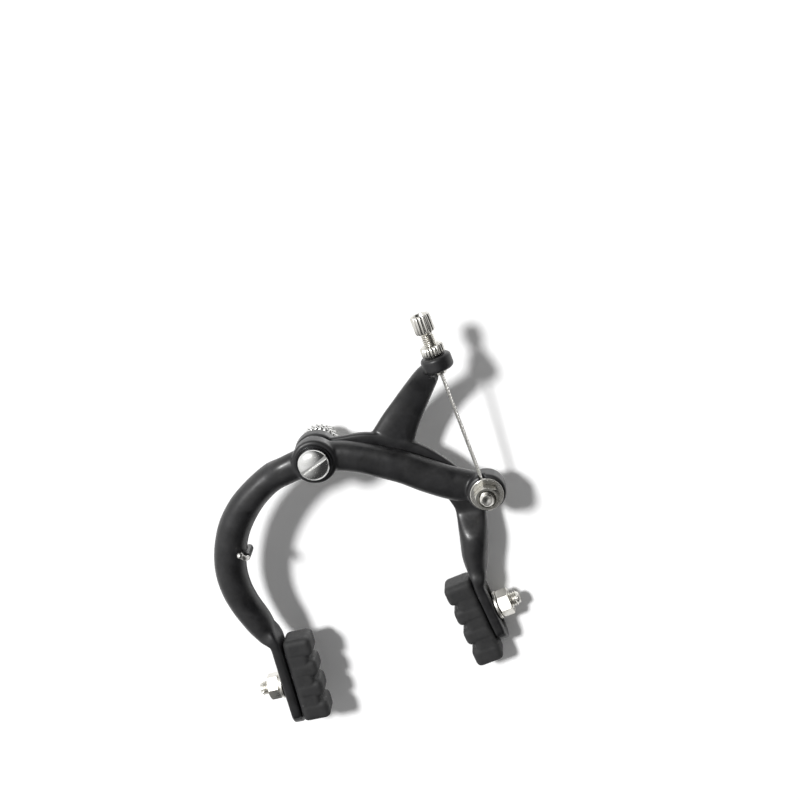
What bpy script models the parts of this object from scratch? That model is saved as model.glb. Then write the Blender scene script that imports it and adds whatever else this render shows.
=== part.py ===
"""Side-pull caliper brake for a bicycle: two nested arms on one centre bolt.

Metres, +Z up. The front of the brake faces -Y, the centre bolt runs along Y,
and the origin is on the bolt's axis at the rear face of the seat washer.
"""
import math

import bmesh
import bpy
from mathutils import Matrix, Vector

# Clear gap left between two pieces that meet
GAP = 0.0003

# Side -1 is the left and 1 the right; drops run down a tongue from its middle

# Centre bolt and the rings stacked on it, from the seat face forwards
BOLT_D = 0.0060
BOLT_REAR = 0.0126
HEAD_D = 0.0130
HEAD_RIM_T = 0.0014
HEAD_DOME_T = 0.0024
HEAD_SLOT_W = 0.0016
HEAD_SLOT_DEPTH = 0.0019
HEAD_SLOT_ANGLE = math.radians(18)
SEAT_WASHER_D = 0.0160
SEAT_WASHER_T = 0.0024
SEAT_TEETH = 22
SEAT_TOOTH_DEPTH = 0.0007
BLOCK_W = 0.0150
BLOCK_H = 0.0150
BLOCK_T = 0.0046
BLOCK_CORNER = 0.0050
BLOCK_TOP = 0.0045
THIN_WASHER_D = 0.0150
THIN_WASHER_T = 0.0008
MOUNT_NUT_AF = 0.0100
MOUNT_NUT_T = 0.0050

# Arms: the eye on the bolt, the nested band, the outer limb and the flat tongue
EYE_D = 0.0186
EYE_T = 0.0070
EYE_CHAMFER = 0.0008
BAND_SETBACK = 0.0005
BAND_RELIEF = 0.0001
BAND_W = 0.0126
LIMB_W = 0.0134
LIMB_DEPTH = 0.0120
TONGUE_X = 0.0471
TONGUE_Z = -0.0920
TONGUE_LEAN = math.radians(5)
TONGUE_T = 0.0046
TONGUE_W = 0.0140
TONGUE_ABOVE = 0.0175
TONGUE_BELOW = {-1: 0.0215, 1: 0.0105}
SLOT_TOP = {-1: -0.0100, 1: -0.0115}
SLOT_FOOT = {-1: 0.0100, 1: 0.0030}
SPRING_LUG_R = 0.0015

# Cable anchor on the end of the front arm
ANCHOR_X = 0.0620
ANCHOR_Z = -0.0340
ANCHOR_BOSS_D = 0.0160
ANCHOR_BOSS_PROUD = 0.0014
ANCHOR_BOLT_D = 0.0060
ANCHOR_HEAD_D = 0.0104
ANCHOR_HEAD_T = 0.0022
ANCHOR_WASHER_D = 0.0136
ANCHOR_WASHER_T = 0.0012
ANCHOR_NUT_AF = 0.0090
ANCHOR_NUT_T = 0.0045
ANCHOR_END = 0.0012

# Cable hanger on the rear arm, with its barrel adjuster and the inner wire
HANGER_X = 0.0605
HANGER_Z = 0.0242
HANGER_D = 0.0124
HANGER_T = 0.0060
STEM_D = 0.0052
STEM_BELOW = 0.0018
STEM_SHOWN = 0.0054
BARREL_D = 0.0080
BARREL_T = 0.0074
BARREL_FLUTES = 16
CUP_D = 0.0054
CUP_DEPTH = 0.0048
LOCK_NUT_D = 0.0094
LOCK_NUT_T = 0.0042
LOCK_NUT_FLUTES = 20
FLUTE_DEPTH = 0.0005
WIRE_D = 0.0015
WIRE_ROOM = 0.0004
WIRE_TAIL = 0.0060
NIPPLE_D = 0.0046
NIPPLE_T = 0.0030

# Brake pads: a stud with a plate, moulded into the back of a rubber block
PAD_STUD_D = 0.0060
PAD_STUD_END = 0.0040
PAD_WASHER_D = 0.0120
PAD_WASHER_T = 0.0012
PAD_NUT_AF = 0.0100
PAD_NUT_T = 0.0050
PLATE_T = 0.0020
PLATE_RIM = 0.0018
BLOCK_LENGTH = 0.0385
BLOCK_DEPTH = 0.0130
BLOCK_THICK = 0.0122
BLOCK_EDGE = 0.0018
BLOCK_OFFSET = 0.0021
PAD_BLOCKS = 4
PAD_GROOVE_W = 0.0018
PAD_GROOVE_DEPTH = 0.0026
PAD_SWIVEL = math.radians(3)
LEFT_STUD_DROP = 0.0029
RIGHT_STUD_DROP = -0.0045

# Return spring, one wire through the spring block
SPRING_D = 0.0022
SPRING_HOLE_Z = -0.0058

RING_POINTS = 24
ROUND_STEPS = 32
MERGE = 0.000002


def make_stack():
    """Rear and front faces of each ring on the bolt, from the seat face forwards."""
    rings = (("seat_washer", SEAT_WASHER_T), ("spring_block", BLOCK_T),
             ("rear_washer", THIN_WASHER_T), ("y_eye", EYE_T),
             ("middle_washer", THIN_WASHER_T), ("c_eye", EYE_T),
             ("front_washer", THIN_WASHER_T))
    faces = {}
    y = 0.0
    for name, thick in rings:
        faces[name] = (y, y - thick)
        y -= thick + GAP
    faces["head"] = (y, y - HEAD_RIM_T - HEAD_DOME_T)
    return faces


STACK = make_stack()
MID_Y = sum(STACK["middle_washer"]) / 2
BOSS_FRONT = STACK["c_eye"][1] - ANCHOR_BOSS_PROUD
WIRE_Y = BOSS_FRONT + WIRE_D / 2 + WIRE_ROOM

collection = bpy.data.collections.new("side_pull_caliper")
cutters = bpy.data.collections.new("cutters")


def material(name, colour, roughness, metallic):
    mat = bpy.data.materials.new(name)
    mat.use_nodes = True
    shader = mat.node_tree.nodes["Principled BSDF"]
    shader.inputs["Base Color"].default_value = (*colour, 1)
    shader.inputs["Roughness"].default_value = roughness
    shader.inputs["Metallic"].default_value = metallic
    return mat


def finish(obj, name, colour, roughness, metallic):
    """Name a piece, give it its own material and shade its round sides smooth."""
    obj.name = name
    obj.data.name = name
    obj.data.materials.clear()
    obj.data.materials.append(material(name, colour, roughness, metallic))
    obj.data.shade_smooth()
    obj.data.set_sharp_from_angle(angle=math.radians(35))
    return obj


BLACK_PAINT = ((0.012, 0.012, 0.013), 0.25, 0.0)
CHROME = ((0.80, 0.80, 0.80), 0.15, 1.0)
STEEL = ((0.55, 0.55, 0.56), 0.35, 1.0)
RUBBER = ((0.035, 0.035, 0.037), 0.80, 0.0)


def link(name, mesh, target=collection):
    obj = bpy.data.objects.new(name, mesh)
    target.objects.link(obj)
    if target is cutters:
        obj.hide_render = True
        obj.display_type = "WIRE"
    return obj


def mesh_from(name, bm, matrix=None, target=collection):
    """Turn a bmesh into an object whose mesh already stands in its place."""
    if matrix is not None:
        bmesh.ops.transform(bm, matrix=matrix, verts=bm.verts[:])
    mesh = bpy.data.meshes.new(name)
    bm.to_mesh(mesh)
    bm.free()
    return link(name, mesh, target)


def set_origin(obj, point):
    """Put a piece's origin on its joint's axis, with the mesh left where it is."""
    obj.data.transform(Matrix.Translation(-Vector(point)))
    obj.location = point


def turned(name, profile, matrix, target=collection, steps=ROUND_STEPS):
    """Spin a profile of (radius, height), drawn down its outer side, about its axis."""
    bm = bmesh.new()
    verts = [bm.verts.new((radius, 0, height)) for radius, height in profile]
    for first, second in zip(verts, verts[1:]):
        bm.edges.new((first, second))
    if profile[0][0] > 0:
        bm.edges.new((verts[-1], verts[0]))
    rough = mesh_from(name + "_profile", bm, target=cutters)
    screw = rough.modifiers.new("turn", "SCREW")
    screw.angle = math.tau
    screw.steps = steps
    screw.render_steps = steps
    screw.use_merge_vertices = True
    screw.merge_threshold = MERGE
    return baked(rough, name, matrix, target)


def baked(source, name, matrix, target=collection):
    """Take the evaluated mesh of a modified object or curve as a plain closed mesh."""
    graph = bpy.context.evaluated_depsgraph_get()
    mesh = bpy.data.meshes.new_from_object(source.evaluated_get(graph))
    bpy.data.objects.remove(source)
    bm = bmesh.new()
    bm.from_mesh(mesh)
    bpy.data.meshes.remove(mesh)
    bmesh.ops.remove_doubles(bm, verts=bm.verts[:], dist=MERGE)
    return mesh_from(name, bm, matrix, target)


def ring_profile(outer, inner, low, high, chamfer=0.0):
    """Section of a washer or bushing, with both outer edges eased."""
    return [(inner, high), (outer - chamfer, high), (outer, high - chamfer),
            (outer, low + chamfer), (outer - chamfer, low), (inner, low)]


def rod(name, radius, low, high, matrix, target=cutters, steps=ROUND_STEPS):
    bm = bmesh.new()
    bmesh.ops.create_cone(bm, cap_ends=True, segments=steps, radius1=radius,
                          radius2=radius, depth=high - low)
    bmesh.ops.translate(bm, vec=(0, 0, (low + high) / 2), verts=bm.verts[:])
    return mesh_from(name, bm, matrix, target)


def box(name, size, matrix, target=cutters, edge=0.0, segments=2):
    bm = bmesh.new()
    bmesh.ops.create_cube(bm, size=1)
    bmesh.ops.scale(bm, vec=size, verts=bm.verts[:])
    if edge:
        bmesh.ops.bevel(bm, geom=bm.edges[:], offset=edge, segments=segments,
                        profile=0.5, affect="EDGES")
    return mesh_from(name, bm, matrix, target)


def combine(obj, others, operation):
    """Join or cut one piece with others, one Boolean at a time, and keep a plain mesh."""
    for other in others:
        modifier = obj.modifiers.new(operation.lower(), "BOOLEAN")
        modifier.operation = operation
        modifier.solver = "EXACT"
        modifier.object = other
        graph = bpy.context.evaluated_depsgraph_get()
        mesh = bpy.data.meshes.new_from_object(obj.evaluated_get(graph))
        obj.modifiers.clear()
        old = obj.data
        obj.data = mesh
        bpy.data.meshes.remove(old)
        bpy.data.objects.remove(other)
        bm = bmesh.new()
        bm.from_mesh(mesh)
        bmesh.ops.remove_doubles(bm, verts=bm.verts[:], dist=MERGE)
        bmesh.ops.dissolve_degenerate(bm, edges=bm.edges[:], dist=MERGE)
        bm.to_mesh(mesh)
        bm.free()
    return obj


def along_y(x=0.0, z=0.0):
    """Frame whose local +Z runs to the rear, along the centre bolt."""
    return Matrix.Translation((x, 0, z)) @ Matrix.Rotation(-math.pi / 2, 4, "X")


def hex_nut(name, across_flats, low, high, bore, matrix):
    """Hexagon with its corners turned off on both faces, and a plain bore."""
    corner = across_flats / math.sqrt(3)
    ease = (corner - across_flats / 2) * 0.9
    round_blank = [(bore, high), (corner - ease, high), (corner + GAP, high - ease),
                   (corner + GAP, low + ease), (corner - ease, low), (bore, low)]
    nut = turned(name, round_blank, matrix)
    return combine(nut, [rod(name + "_flats", corner, low - GAP, high + GAP, matrix, steps=6)],
                   "INTERSECT")


def fluted(name, radius, depth, flutes, low, high, matrix):
    """Knurled or serrated cylinder: every second point of its rim is set in."""
    bm = bmesh.new()
    bmesh.ops.create_cone(bm, cap_ends=True, segments=2 * flutes, radius1=radius,
                          radius2=radius, depth=high - low)
    bmesh.ops.translate(bm, vec=(0, 0, (low + high) / 2), verts=bm.verts[:])
    for vert in bm.verts:
        step = round(math.atan2(vert.co.y, vert.co.x) / (math.pi / flutes))
        if step % 2:
            vert.co.xy *= (radius - depth) / radius
    return mesh_from(name, bm, matrix)


def catmull(points, at):
    """Smooth curve through points, with the whole part of at naming the span."""
    last = len(points) - 2
    span = min(int(at), last)
    t = at - span
    p0, p1, p2, p3 = (Vector(points[min(max(span + k, 0), last + 1)]) for k in (-1, 0, 1, 2))
    return 0.5 * (2 * p1 + (p2 - p0) * t + (2 * p0 - 5 * p1 + 4 * p2 - p3) * t * t
                  + (3 * p1 - p0 - 3 * p2 + p3) * t ** 3)


def loft(name, stations, per_span=3):
    """Skin a forging through stations of (x, z, width, section) along its length.

    A section is (front, widest, back, front squareness, back squareness), its
    first three given as distances behind the plane between the arms.
    """
    places = [(x, z, 0) for x, z, _, _ in stations]
    spans = len(stations) - 1
    bm = bmesh.new()
    rings = []
    for step in range(spans * per_span + 1):
        at = step / per_span
        here = catmull(places, at)
        ahead = catmull(places, min(at + 0.02, spans))
        behind = catmull(places, max(at - 0.02, 0))
        along = (ahead - behind).normalized()
        span = min(int(at), spans - 1)
        share = at - span
        share = share * share * (3 - 2 * share)
        first, second = stations[span], stations[span + 1]
        half = (first[2] + (second[2] - first[2]) * share) / 2
        front, widest, back, square_front, square_back = (
            a + (b - a) * share for a, b in zip(first[3], second[3]))
        ring = []
        for k in range(RING_POINTS):
            turn = math.tau * k / RING_POINTS
            c, s = math.cos(turn), math.sin(turn)
            power = 2 / (square_back if s > 0 else square_front)
            across = half * math.copysign(abs(c) ** power, c)
            deep = (back - widest) if s > 0 else (widest - front)
            y = MID_Y + widest + deep * math.copysign(abs(s) ** power, s)
            ring.append(bm.verts.new((here.x - along.y * across, y, here.y + along.x * across)))
        rings.append(ring)
    for ring, following in zip(rings, rings[1:]):
        for k in range(RING_POINTS):
            after = (k + 1) % RING_POINTS
            bm.faces.new((ring[k], ring[after], following[after], following[k]))
    bm.faces.new(rings[0])
    bm.faces.new(rings[-1])
    bmesh.ops.recalc_face_normals(bm, faces=bm.faces[:])
    return mesh_from(name, bm)


# Sections of the arms, as distances behind the plane between them
NEST_IN = -MID_Y + STACK["y_eye"][1] + BAND_RELIEF
NEST_OUT = -MID_Y + STACK["y_eye"][0] - BAND_SETBACK
FRONT_BAND = (-NEST_OUT, -NEST_IN - 0.0014, -NEST_IN, 2.5, 5)
REAR_BAND = (NEST_IN, NEST_IN + 0.0014, NEST_OUT, 5, 2.5)
LIMB = (-LIMB_DEPTH / 2, 0, LIMB_DEPTH / 2, 2.3, 2.3)
REAR_HALF = tuple((band + limb) / 2 for band, limb in zip(REAR_BAND, LIMB))
TONGUE = (-TONGUE_W / 2, 0, TONGUE_W / 2, 7, 7)


def tongue_point(side, down):
    """Point on a tongue's centreline, a distance down from the middle of its slot."""
    return (side * (TONGUE_X + down * math.sin(TONGUE_LEAN)),
            TONGUE_Z - down * math.cos(TONGUE_LEAN))


def tongue_stations(side):
    """Flat tongue from its root to its round tip, as loft stations."""
    stations = []
    radius = TONGUE_W / 2
    root = TONGUE_BELOW[side] - radius
    for down in (-TONGUE_ABOVE, (root - TONGUE_ABOVE) / 2, root):
        stations.append((*tongue_point(side, down), TONGUE_T, TONGUE))
    for turn in (25, 50, 70, 84):
        down = root + radius * math.sin(math.radians(turn))
        half = radius * math.cos(math.radians(turn))
        stations.append((*tongue_point(side, down), TONGUE_T, (-half, 0, half, 7, 7)))
    return stations


def limb_end(side):
    """Stations where an outer limb draws in to the root of its tongue."""
    if side < 0:
        drawn = ((0.0308, 0.0056, 0.0122), (0.0248, 0.0035, 0.0104), (0.0204, 0.0008, 0.0058))
    else:
        drawn = ((0.0308, 0.0036, 0.0108), (0.0248, 0.0020, 0.0090), (0.0204, 0.0009, 0.0062))
    stations = []
    for up, outward, width in drawn:
        x, z = tongue_point(side, -up)
        stations.append((x + side * outward, z, width, LIMB if width > 0.007 else TONGUE))
    return stations


def along_stud(side, drop):
    """Frame of a pad's stud: +Z points outwards along it, from the tongue's middle."""
    x, z = tongue_point(side, drop)
    lean = Matrix.Rotation(-side * TONGUE_LEAN, 4, "Y")
    outwards = Matrix.Rotation(side * math.pi / 2, 4, "Y")
    return Matrix.Translation((x, MID_Y, z)) @ lean @ outwards


def cut_tongue_slot(arm, side):
    """Slot through a tongue, in which the pad's stud is set higher or lower."""
    half = TONGUE_T
    width = PAD_STUD_D / 2 + GAP
    frame = along_stud(side, (SLOT_TOP[side] + SLOT_FOOT[side]) / 2)
    travel = SLOT_FOOT[side] - SLOT_TOP[side]
    ends = [rod("slot_end", width, -half, half, frame @ Matrix.Translation((place, 0, 0)))
            for place in (-travel / 2, travel / 2)]
    middle = box("slot_middle", (travel, 2 * width, 2 * half), frame)
    cutter = combine(middle, ends, "UNION")
    return combine(arm, [cutter], "DIFFERENCE")


def eye(name, which):
    rear, front = STACK[which]
    return turned(name, [(0, rear), (EYE_D / 2 - EYE_CHAMFER, rear), (EYE_D / 2, rear - EYE_CHAMFER),
                         (EYE_D / 2, front + EYE_CHAMFER), (EYE_D / 2 - EYE_CHAMFER, front),
                         (0, front)], along_y())


def wire_frame():
    """Frame of the inner wire: origin at the anchor, +Z up the wire to the hanger."""
    start = Vector((ANCHOR_X, WIRE_Y, ANCHOR_Z))
    end = Vector((HANGER_X, WIRE_Y, HANGER_Z))
    turn = Vector((0, 0, 1)).rotation_difference(end - start).to_matrix().to_4x4()
    return Matrix.Translation(start) @ turn, (end - start).length


WIRE_FRAME, WIRE_SPAN = wire_frame()
HANGER_FRAME = WIRE_FRAME @ Matrix.Translation((0, 0, WIRE_SPAN))


def make_front_arm():
    """C-shaped arm: left limb and pad tongue, eye, and the limb to the cable anchor."""
    stations = list(reversed(tongue_stations(-1))) + list(reversed(limb_end(-1)))
    stations += [(-0.0520, -0.0535, LIMB_W - 0.0008, LIMB), (-0.0529, -0.0455, LIMB_W - 0.0004, LIMB),
                 (-0.0521, -0.0370, LIMB_W, LIMB), (-0.0492, -0.0285, LIMB_W + 0.0002, LIMB),
                 (-0.0440, -0.0195, LIMB_W + 0.0002, LIMB), (-0.0370, -0.0122, LIMB_W - 0.0002, LIMB),
                 (-0.0295, -0.0070, LIMB_W - 0.0012, LIMB), (-0.0215, -0.0032, BAND_W - 0.0008, LIMB),
                 (-0.0130, -0.0010, BAND_W - 0.0008, FRONT_BAND), (0, 0, BAND_W, FRONT_BAND),
                 (0.0090, -0.0018, BAND_W, FRONT_BAND), (0.0170, -0.0052, BAND_W, FRONT_BAND),
                 (0.0249, -0.0099, BAND_W + 0.0006, FRONT_BAND),
                 (0.0333, -0.0154, BAND_W + 0.0010, FRONT_BAND),
                 (0.0417, -0.0222, BAND_W + 0.0014, FRONT_BAND),
                 (0.0508, -0.0286, BAND_W + 0.0014, FRONT_BAND),
                 (ANCHOR_X, ANCHOR_Z, BAND_W - 0.0016, FRONT_BAND)]
    arm = loft("front_arm", stations)
    boss = turned("boss", [(0, STACK["c_eye"][0]), (ANCHOR_BOSS_D / 2, STACK["c_eye"][0]),
                           (ANCHOR_BOSS_D / 2, BOSS_FRONT + EYE_CHAMFER),
                           (ANCHOR_BOSS_D / 2 - EYE_CHAMFER, BOSS_FRONT), (0, BOSS_FRONT)],
                  along_y(ANCHOR_X, ANCHOR_Z))
    lug = rod("lug", SPRING_LUG_R, MID_Y - LIMB_DEPTH / 3, MID_Y + LIMB_DEPTH / 3,
              along_y(-0.0418, -0.0268), collection, steps=16)
    combine(arm, [eye("eye", "c_eye"), boss, lug], "UNION")
    rear, front = STACK["c_eye"]
    bore = rod("bore", BOLT_D / 2 + GAP, front - GAP, rear + GAP, along_y())
    frame = along_y(ANCHOR_X, ANCHOR_Z)
    shank = ANCHOR_BOLT_D / 2 + GAP
    sink = ANCHOR_HEAD_D / 2 + GAP
    floor = rear - ANCHOR_HEAD_T - 2 * GAP
    anchor_bore = turned("anchor_bore", [(0, rear + GAP), (sink, rear + GAP), (sink, floor),
                                         (shank, floor), (shank, BOSS_FRONT - GAP),
                                         (0, BOSS_FRONT - GAP)], frame, cutters)
    width = WIRE_D + 2 * GAP
    depth = WIRE_Y - BOSS_FRONT + width / 2
    groove = box("groove", (width, 2 * depth, 2 * ANCHOR_BOSS_D),
                 WIRE_FRAME @ Matrix.Translation((0, BOSS_FRONT - WIRE_Y, 0)))
    combine(arm, [bore, anchor_bore, groove], "DIFFERENCE")
    cut_tongue_slot(arm, -1)
    return finish(arm, "front_arm", *BLACK_PAINT)


def make_rear_arm():
    """Y-shaped arm: eye, right limb and pad tongue, and the branch to the cable hanger."""
    stations = [(-0.0020, 0, BAND_W, REAR_BAND), (0.0110, -0.0019, BAND_W, REAR_BAND),
                (0.0216, -0.0040, BAND_W + 0.0002, REAR_BAND),
                (0.0325, -0.0100, BAND_W + 0.0004, REAR_BAND),
                (0.0398, -0.0165, BAND_W + 0.0004, REAR_BAND),
                (0.0455, -0.0235, BAND_W + 0.0002, REAR_BAND),
                (0.0495, -0.0300, BAND_W, REAR_BAND), (0.0518, -0.0365, BAND_W - 0.0002, REAR_BAND),
                (0.0524, -0.0425, BAND_W - 0.0002, REAR_BAND),
                (0.0514, -0.0490, BAND_W - 0.0002, REAR_HALF),
                (0.0501, -0.0540, BAND_W - 0.0006, LIMB)]
    stations += limb_end(1) + tongue_stations(1)
    arm = loft("rear_arm", stations)
    shift = -MID_Y + WIRE_Y
    half = EYE_T / 2
    centre = (NEST_IN + NEST_OUT) / 2
    branch_route = ((0.0300, -0.0060, 0.0190, centre), (0.0362, 0.0010, 0.0158, centre),
                    (0.0424, 0.0072, 0.0134, centre - 0.0010), (0.0486, 0.0134, 0.0116, 0),
                    (0.0540, 0.0190, 0.0098, shift * 0.62),
                    (HANGER_X - 0.0024, HANGER_Z - 0.0018, 0.0072, shift))
    branch = loft("branch", [(x, z, width, (y - half + BAND_SETBACK, y, y + half - BAND_SETBACK, 2.6, 2.6))
                             for x, z, width, y in branch_route], per_span=4)
    hanger = turned("hanger", [(0, HANGER_T / 2), (HANGER_D / 2 - EYE_CHAMFER, HANGER_T / 2),
                               (HANGER_D / 2, HANGER_T / 2 - EYE_CHAMFER),
                               (HANGER_D / 2, EYE_CHAMFER - HANGER_T / 2),
                               (HANGER_D / 2 - EYE_CHAMFER, -HANGER_T / 2), (0, -HANGER_T / 2)],
                    HANGER_FRAME)
    lug = rod("lug", SPRING_LUG_R, MID_Y + NEST_IN + BAND_W / 8, MID_Y + NEST_OUT - BAND_W / 8,
              along_y(0.0372, -0.0222), collection, steps=16)
    combine(arm, [eye("eye", "y_eye"), branch, hanger, lug], "UNION")
    rear, front = STACK["y_eye"]
    bore = rod("bore", BOLT_D / 2 + GAP, front - GAP, rear + GAP, along_y())
    hanger_bore = rod("hanger_bore", STEM_D / 2 + GAP, -2 * HANGER_T, HANGER_T, HANGER_FRAME)
    combine(arm, [bore, hanger_bore], "DIFFERENCE")
    cut_tongue_slot(arm, 1)
    return finish(arm, "rear_arm", *BLACK_PAINT)


def make_centre_bolt():
    """Pivot bolt: slotted domed head in front, plain shank to its rear end."""
    rear, _ = STACK["head"]
    rim = rear - HEAD_RIM_T
    profile = [(0, BOLT_REAR), (BOLT_D / 2 - GAP, BOLT_REAR), (BOLT_D / 2, BOLT_REAR - GAP),
               (BOLT_D / 2, rear), (HEAD_D / 2, rear), (HEAD_D / 2, rim)]
    arcs = 5
    for step in range(1, arcs + 1):
        turn = math.pi / 2 * step / arcs
        profile.append((HEAD_D / 2 * math.cos(turn), rim - HEAD_DOME_T * math.sin(turn)))
    profile[-1] = (0, rim - HEAD_DOME_T)
    bolt = turned("centre_bolt", profile, along_y())
    top = rim - HEAD_DOME_T
    slot = box("slot", (HEAD_D * 1.2, 2 * HEAD_SLOT_DEPTH, HEAD_SLOT_W),
               Matrix.Translation((0, top, 0)) @ Matrix.Rotation(-HEAD_SLOT_ANGLE, 4, "Y"))
    combine(bolt, [slot], "DIFFERENCE")
    finish(bolt, "centre_bolt", *CHROME)


def make_bolt_rings():
    """Plain washers between the eyes, the toothed seat washers and the mounting nut."""
    bore = BOLT_D / 2 + GAP
    for name, colours in (("front_washer", CHROME), ("middle_washer", STEEL), ("rear_washer", STEEL)):
        rear, front = STACK[name]
        washer = turned(name, ring_profile(THIN_WASHER_D / 2, bore, front, rear, GAP / 2), along_y())
        finish(washer, name, *colours)
    rear, front = STACK["seat_washer"]
    second = GAP + SEAT_WASHER_T
    for name, low, high in (("seat_washer", front, rear), ("toothed_washer", GAP, second)):
        washer = fluted(name, SEAT_WASHER_D / 2, SEAT_TOOTH_DEPTH, SEAT_TEETH, low, high, along_y())
        combine(washer, [rod("bore", bore, low - GAP, high + GAP, along_y())], "DIFFERENCE")
        finish(washer, name, *CHROME)
    low = second + GAP
    nut = hex_nut("mounting_nut", MOUNT_NUT_AF, low, low + MOUNT_NUT_T, bore, along_y())
    finish(nut, "mounting_nut", *CHROME)


def make_spring_block():
    """Block behind the arms: the bolt passes through it, and the spring under the bolt."""
    rear, front = STACK["spring_block"]
    middle = BLOCK_TOP - BLOCK_H / 2
    block = box("spring_block", (BLOCK_W, BLOCK_T, BLOCK_H),
                Matrix.Translation((0, (rear + front) / 2, middle)), collection)
    bm = bmesh.new()
    bm.from_mesh(block.data)
    upright = [e for e in bm.edges if abs(e.verts[0].co.y - e.verts[1].co.y) > BLOCK_T / 2]
    bmesh.ops.bevel(bm, geom=upright, offset=BLOCK_CORNER, segments=4, profile=0.5, affect="EDGES")
    bm.to_mesh(block.data)
    bm.free()
    sideways = Matrix.Translation((0, (rear + front) / 2, SPRING_HOLE_Z)) @ Matrix.Rotation(
        math.pi / 2, 4, "Y")
    hole = rod("hole", SPRING_D / 2 + GAP, -BLOCK_W, BLOCK_W, sideways, steps=20)
    bore = rod("bore", BOLT_D / 2 + GAP, front - GAP, rear + GAP, along_y())
    combine(block, [hole, bore], "DIFFERENCE")
    finish(block, "spring_block", *STEEL)


def wire_object(name, points, diameter, matrix=None):
    """Round wire along a poly line, as a closed mesh with flat ends."""
    curve = bpy.data.curves.new(name, "CURVE")
    curve.dimensions = "3D"
    curve.bevel_depth = diameter / 2
    curve.bevel_resolution = 2
    curve.use_fill_caps = True
    spline = curve.splines.new("POLY")
    spline.points.add(len(points) - 1)
    for point, place in zip(spline.points, points):
        point.co = (*place, 1)
    return baked(link(name + "_curve", curve, cutters), name, matrix)


def make_return_spring():
    """One wire: through the block, down behind both limbs, hooked on their inner edges."""
    block_y = sum(STACK["spring_block"]) / 2
    behind = SPRING_D / 2 + 2 * GAP
    left_y = MID_Y + LIMB_DEPTH / 2 + behind
    right_y = MID_Y + NEST_OUT + behind
    front_y = MID_Y - LIMB_DEPTH / 2 - behind
    nest_y = MID_Y + NEST_IN + SPRING_D / 2 + GAP
    left = ((-0.0440, front_y, -0.0283), (-0.0424, front_y, -0.0299),
            (-0.0414, front_y + SPRING_D, -0.0312), (-0.0413, MID_Y, -0.0320),
            (-0.0418, left_y - SPRING_D, -0.0328), (-0.0437, left_y, -0.0328),
            (-0.0458, left_y, -0.0290), (-0.0430, left_y, -0.0222), (-0.0355, left_y, -0.0150),
            (-0.0250, (left_y + block_y) / 2, -0.0090), (-0.0150, block_y, -0.0064))
    right = ((0.0150, block_y, -0.0064), (0.0250, (right_y + block_y) / 2, -0.0094),
             (0.0335, right_y, -0.0142), (0.0400, right_y, -0.0196), (0.0418, right_y, -0.0232),
             (0.0404, right_y, -0.0257), (0.0384, right_y - SPRING_D / 2, -0.0266),
             (0.0377, right_y - 1.5 * SPRING_D, -0.0267), (0.0377, nest_y, -0.0267))
    inside = BLOCK_W / 2
    route = list(left) + [(-inside, block_y, SPRING_HOLE_Z), (0, block_y, SPRING_HOLE_Z),
                          (inside, block_y, SPRING_HOLE_Z)] + list(right)
    points = [catmull(route, step / 4) for step in range(4 * (len(route) - 1) + 1)]
    spring = wire_object("return_spring", points, SPRING_D)
    finish(spring, "return_spring", *STEEL)


def make_anchor():
    """Cable anchor: bolt with a cross hole for the wire, its washer and nut."""
    rear, _ = STACK["c_eye"]
    frame = along_y(ANCHOR_X, ANCHOR_Z)
    washer_rear = BOSS_FRONT - GAP
    washer_front = washer_rear - ANCHOR_WASHER_T
    nut_rear = washer_front - GAP
    nut_front = nut_rear - ANCHOR_NUT_T
    end = nut_front - ANCHOR_END
    head_rear = rear - GAP
    head_front = head_rear - ANCHOR_HEAD_T
    shank = ANCHOR_BOLT_D / 2
    bolt = turned("anchor_bolt", [(0, head_rear), (ANCHOR_HEAD_D / 2, head_rear),
                                  (ANCHOR_HEAD_D / 2, head_front), (shank, head_front),
                                  (shank, end + GAP), (shank - GAP, end), (0, end)], frame)
    cross = rod("cross", WIRE_D / 2 + GAP, -ANCHOR_BOLT_D, ANCHOR_BOLT_D, WIRE_FRAME, steps=16)
    combine(bolt, [cross], "DIFFERENCE")
    finish(bolt, "anchor_bolt", *CHROME)
    washer = turned("anchor_washer", ring_profile(ANCHOR_WASHER_D / 2, shank + GAP, washer_front,
                                                  washer_rear, GAP), frame)
    finish(washer, "anchor_washer", *CHROME)
    nut = hex_nut("anchor_nut", ANCHOR_NUT_AF, nut_front, nut_rear, shank + GAP, frame)
    finish(nut, "anchor_nut", *CHROME)


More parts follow.
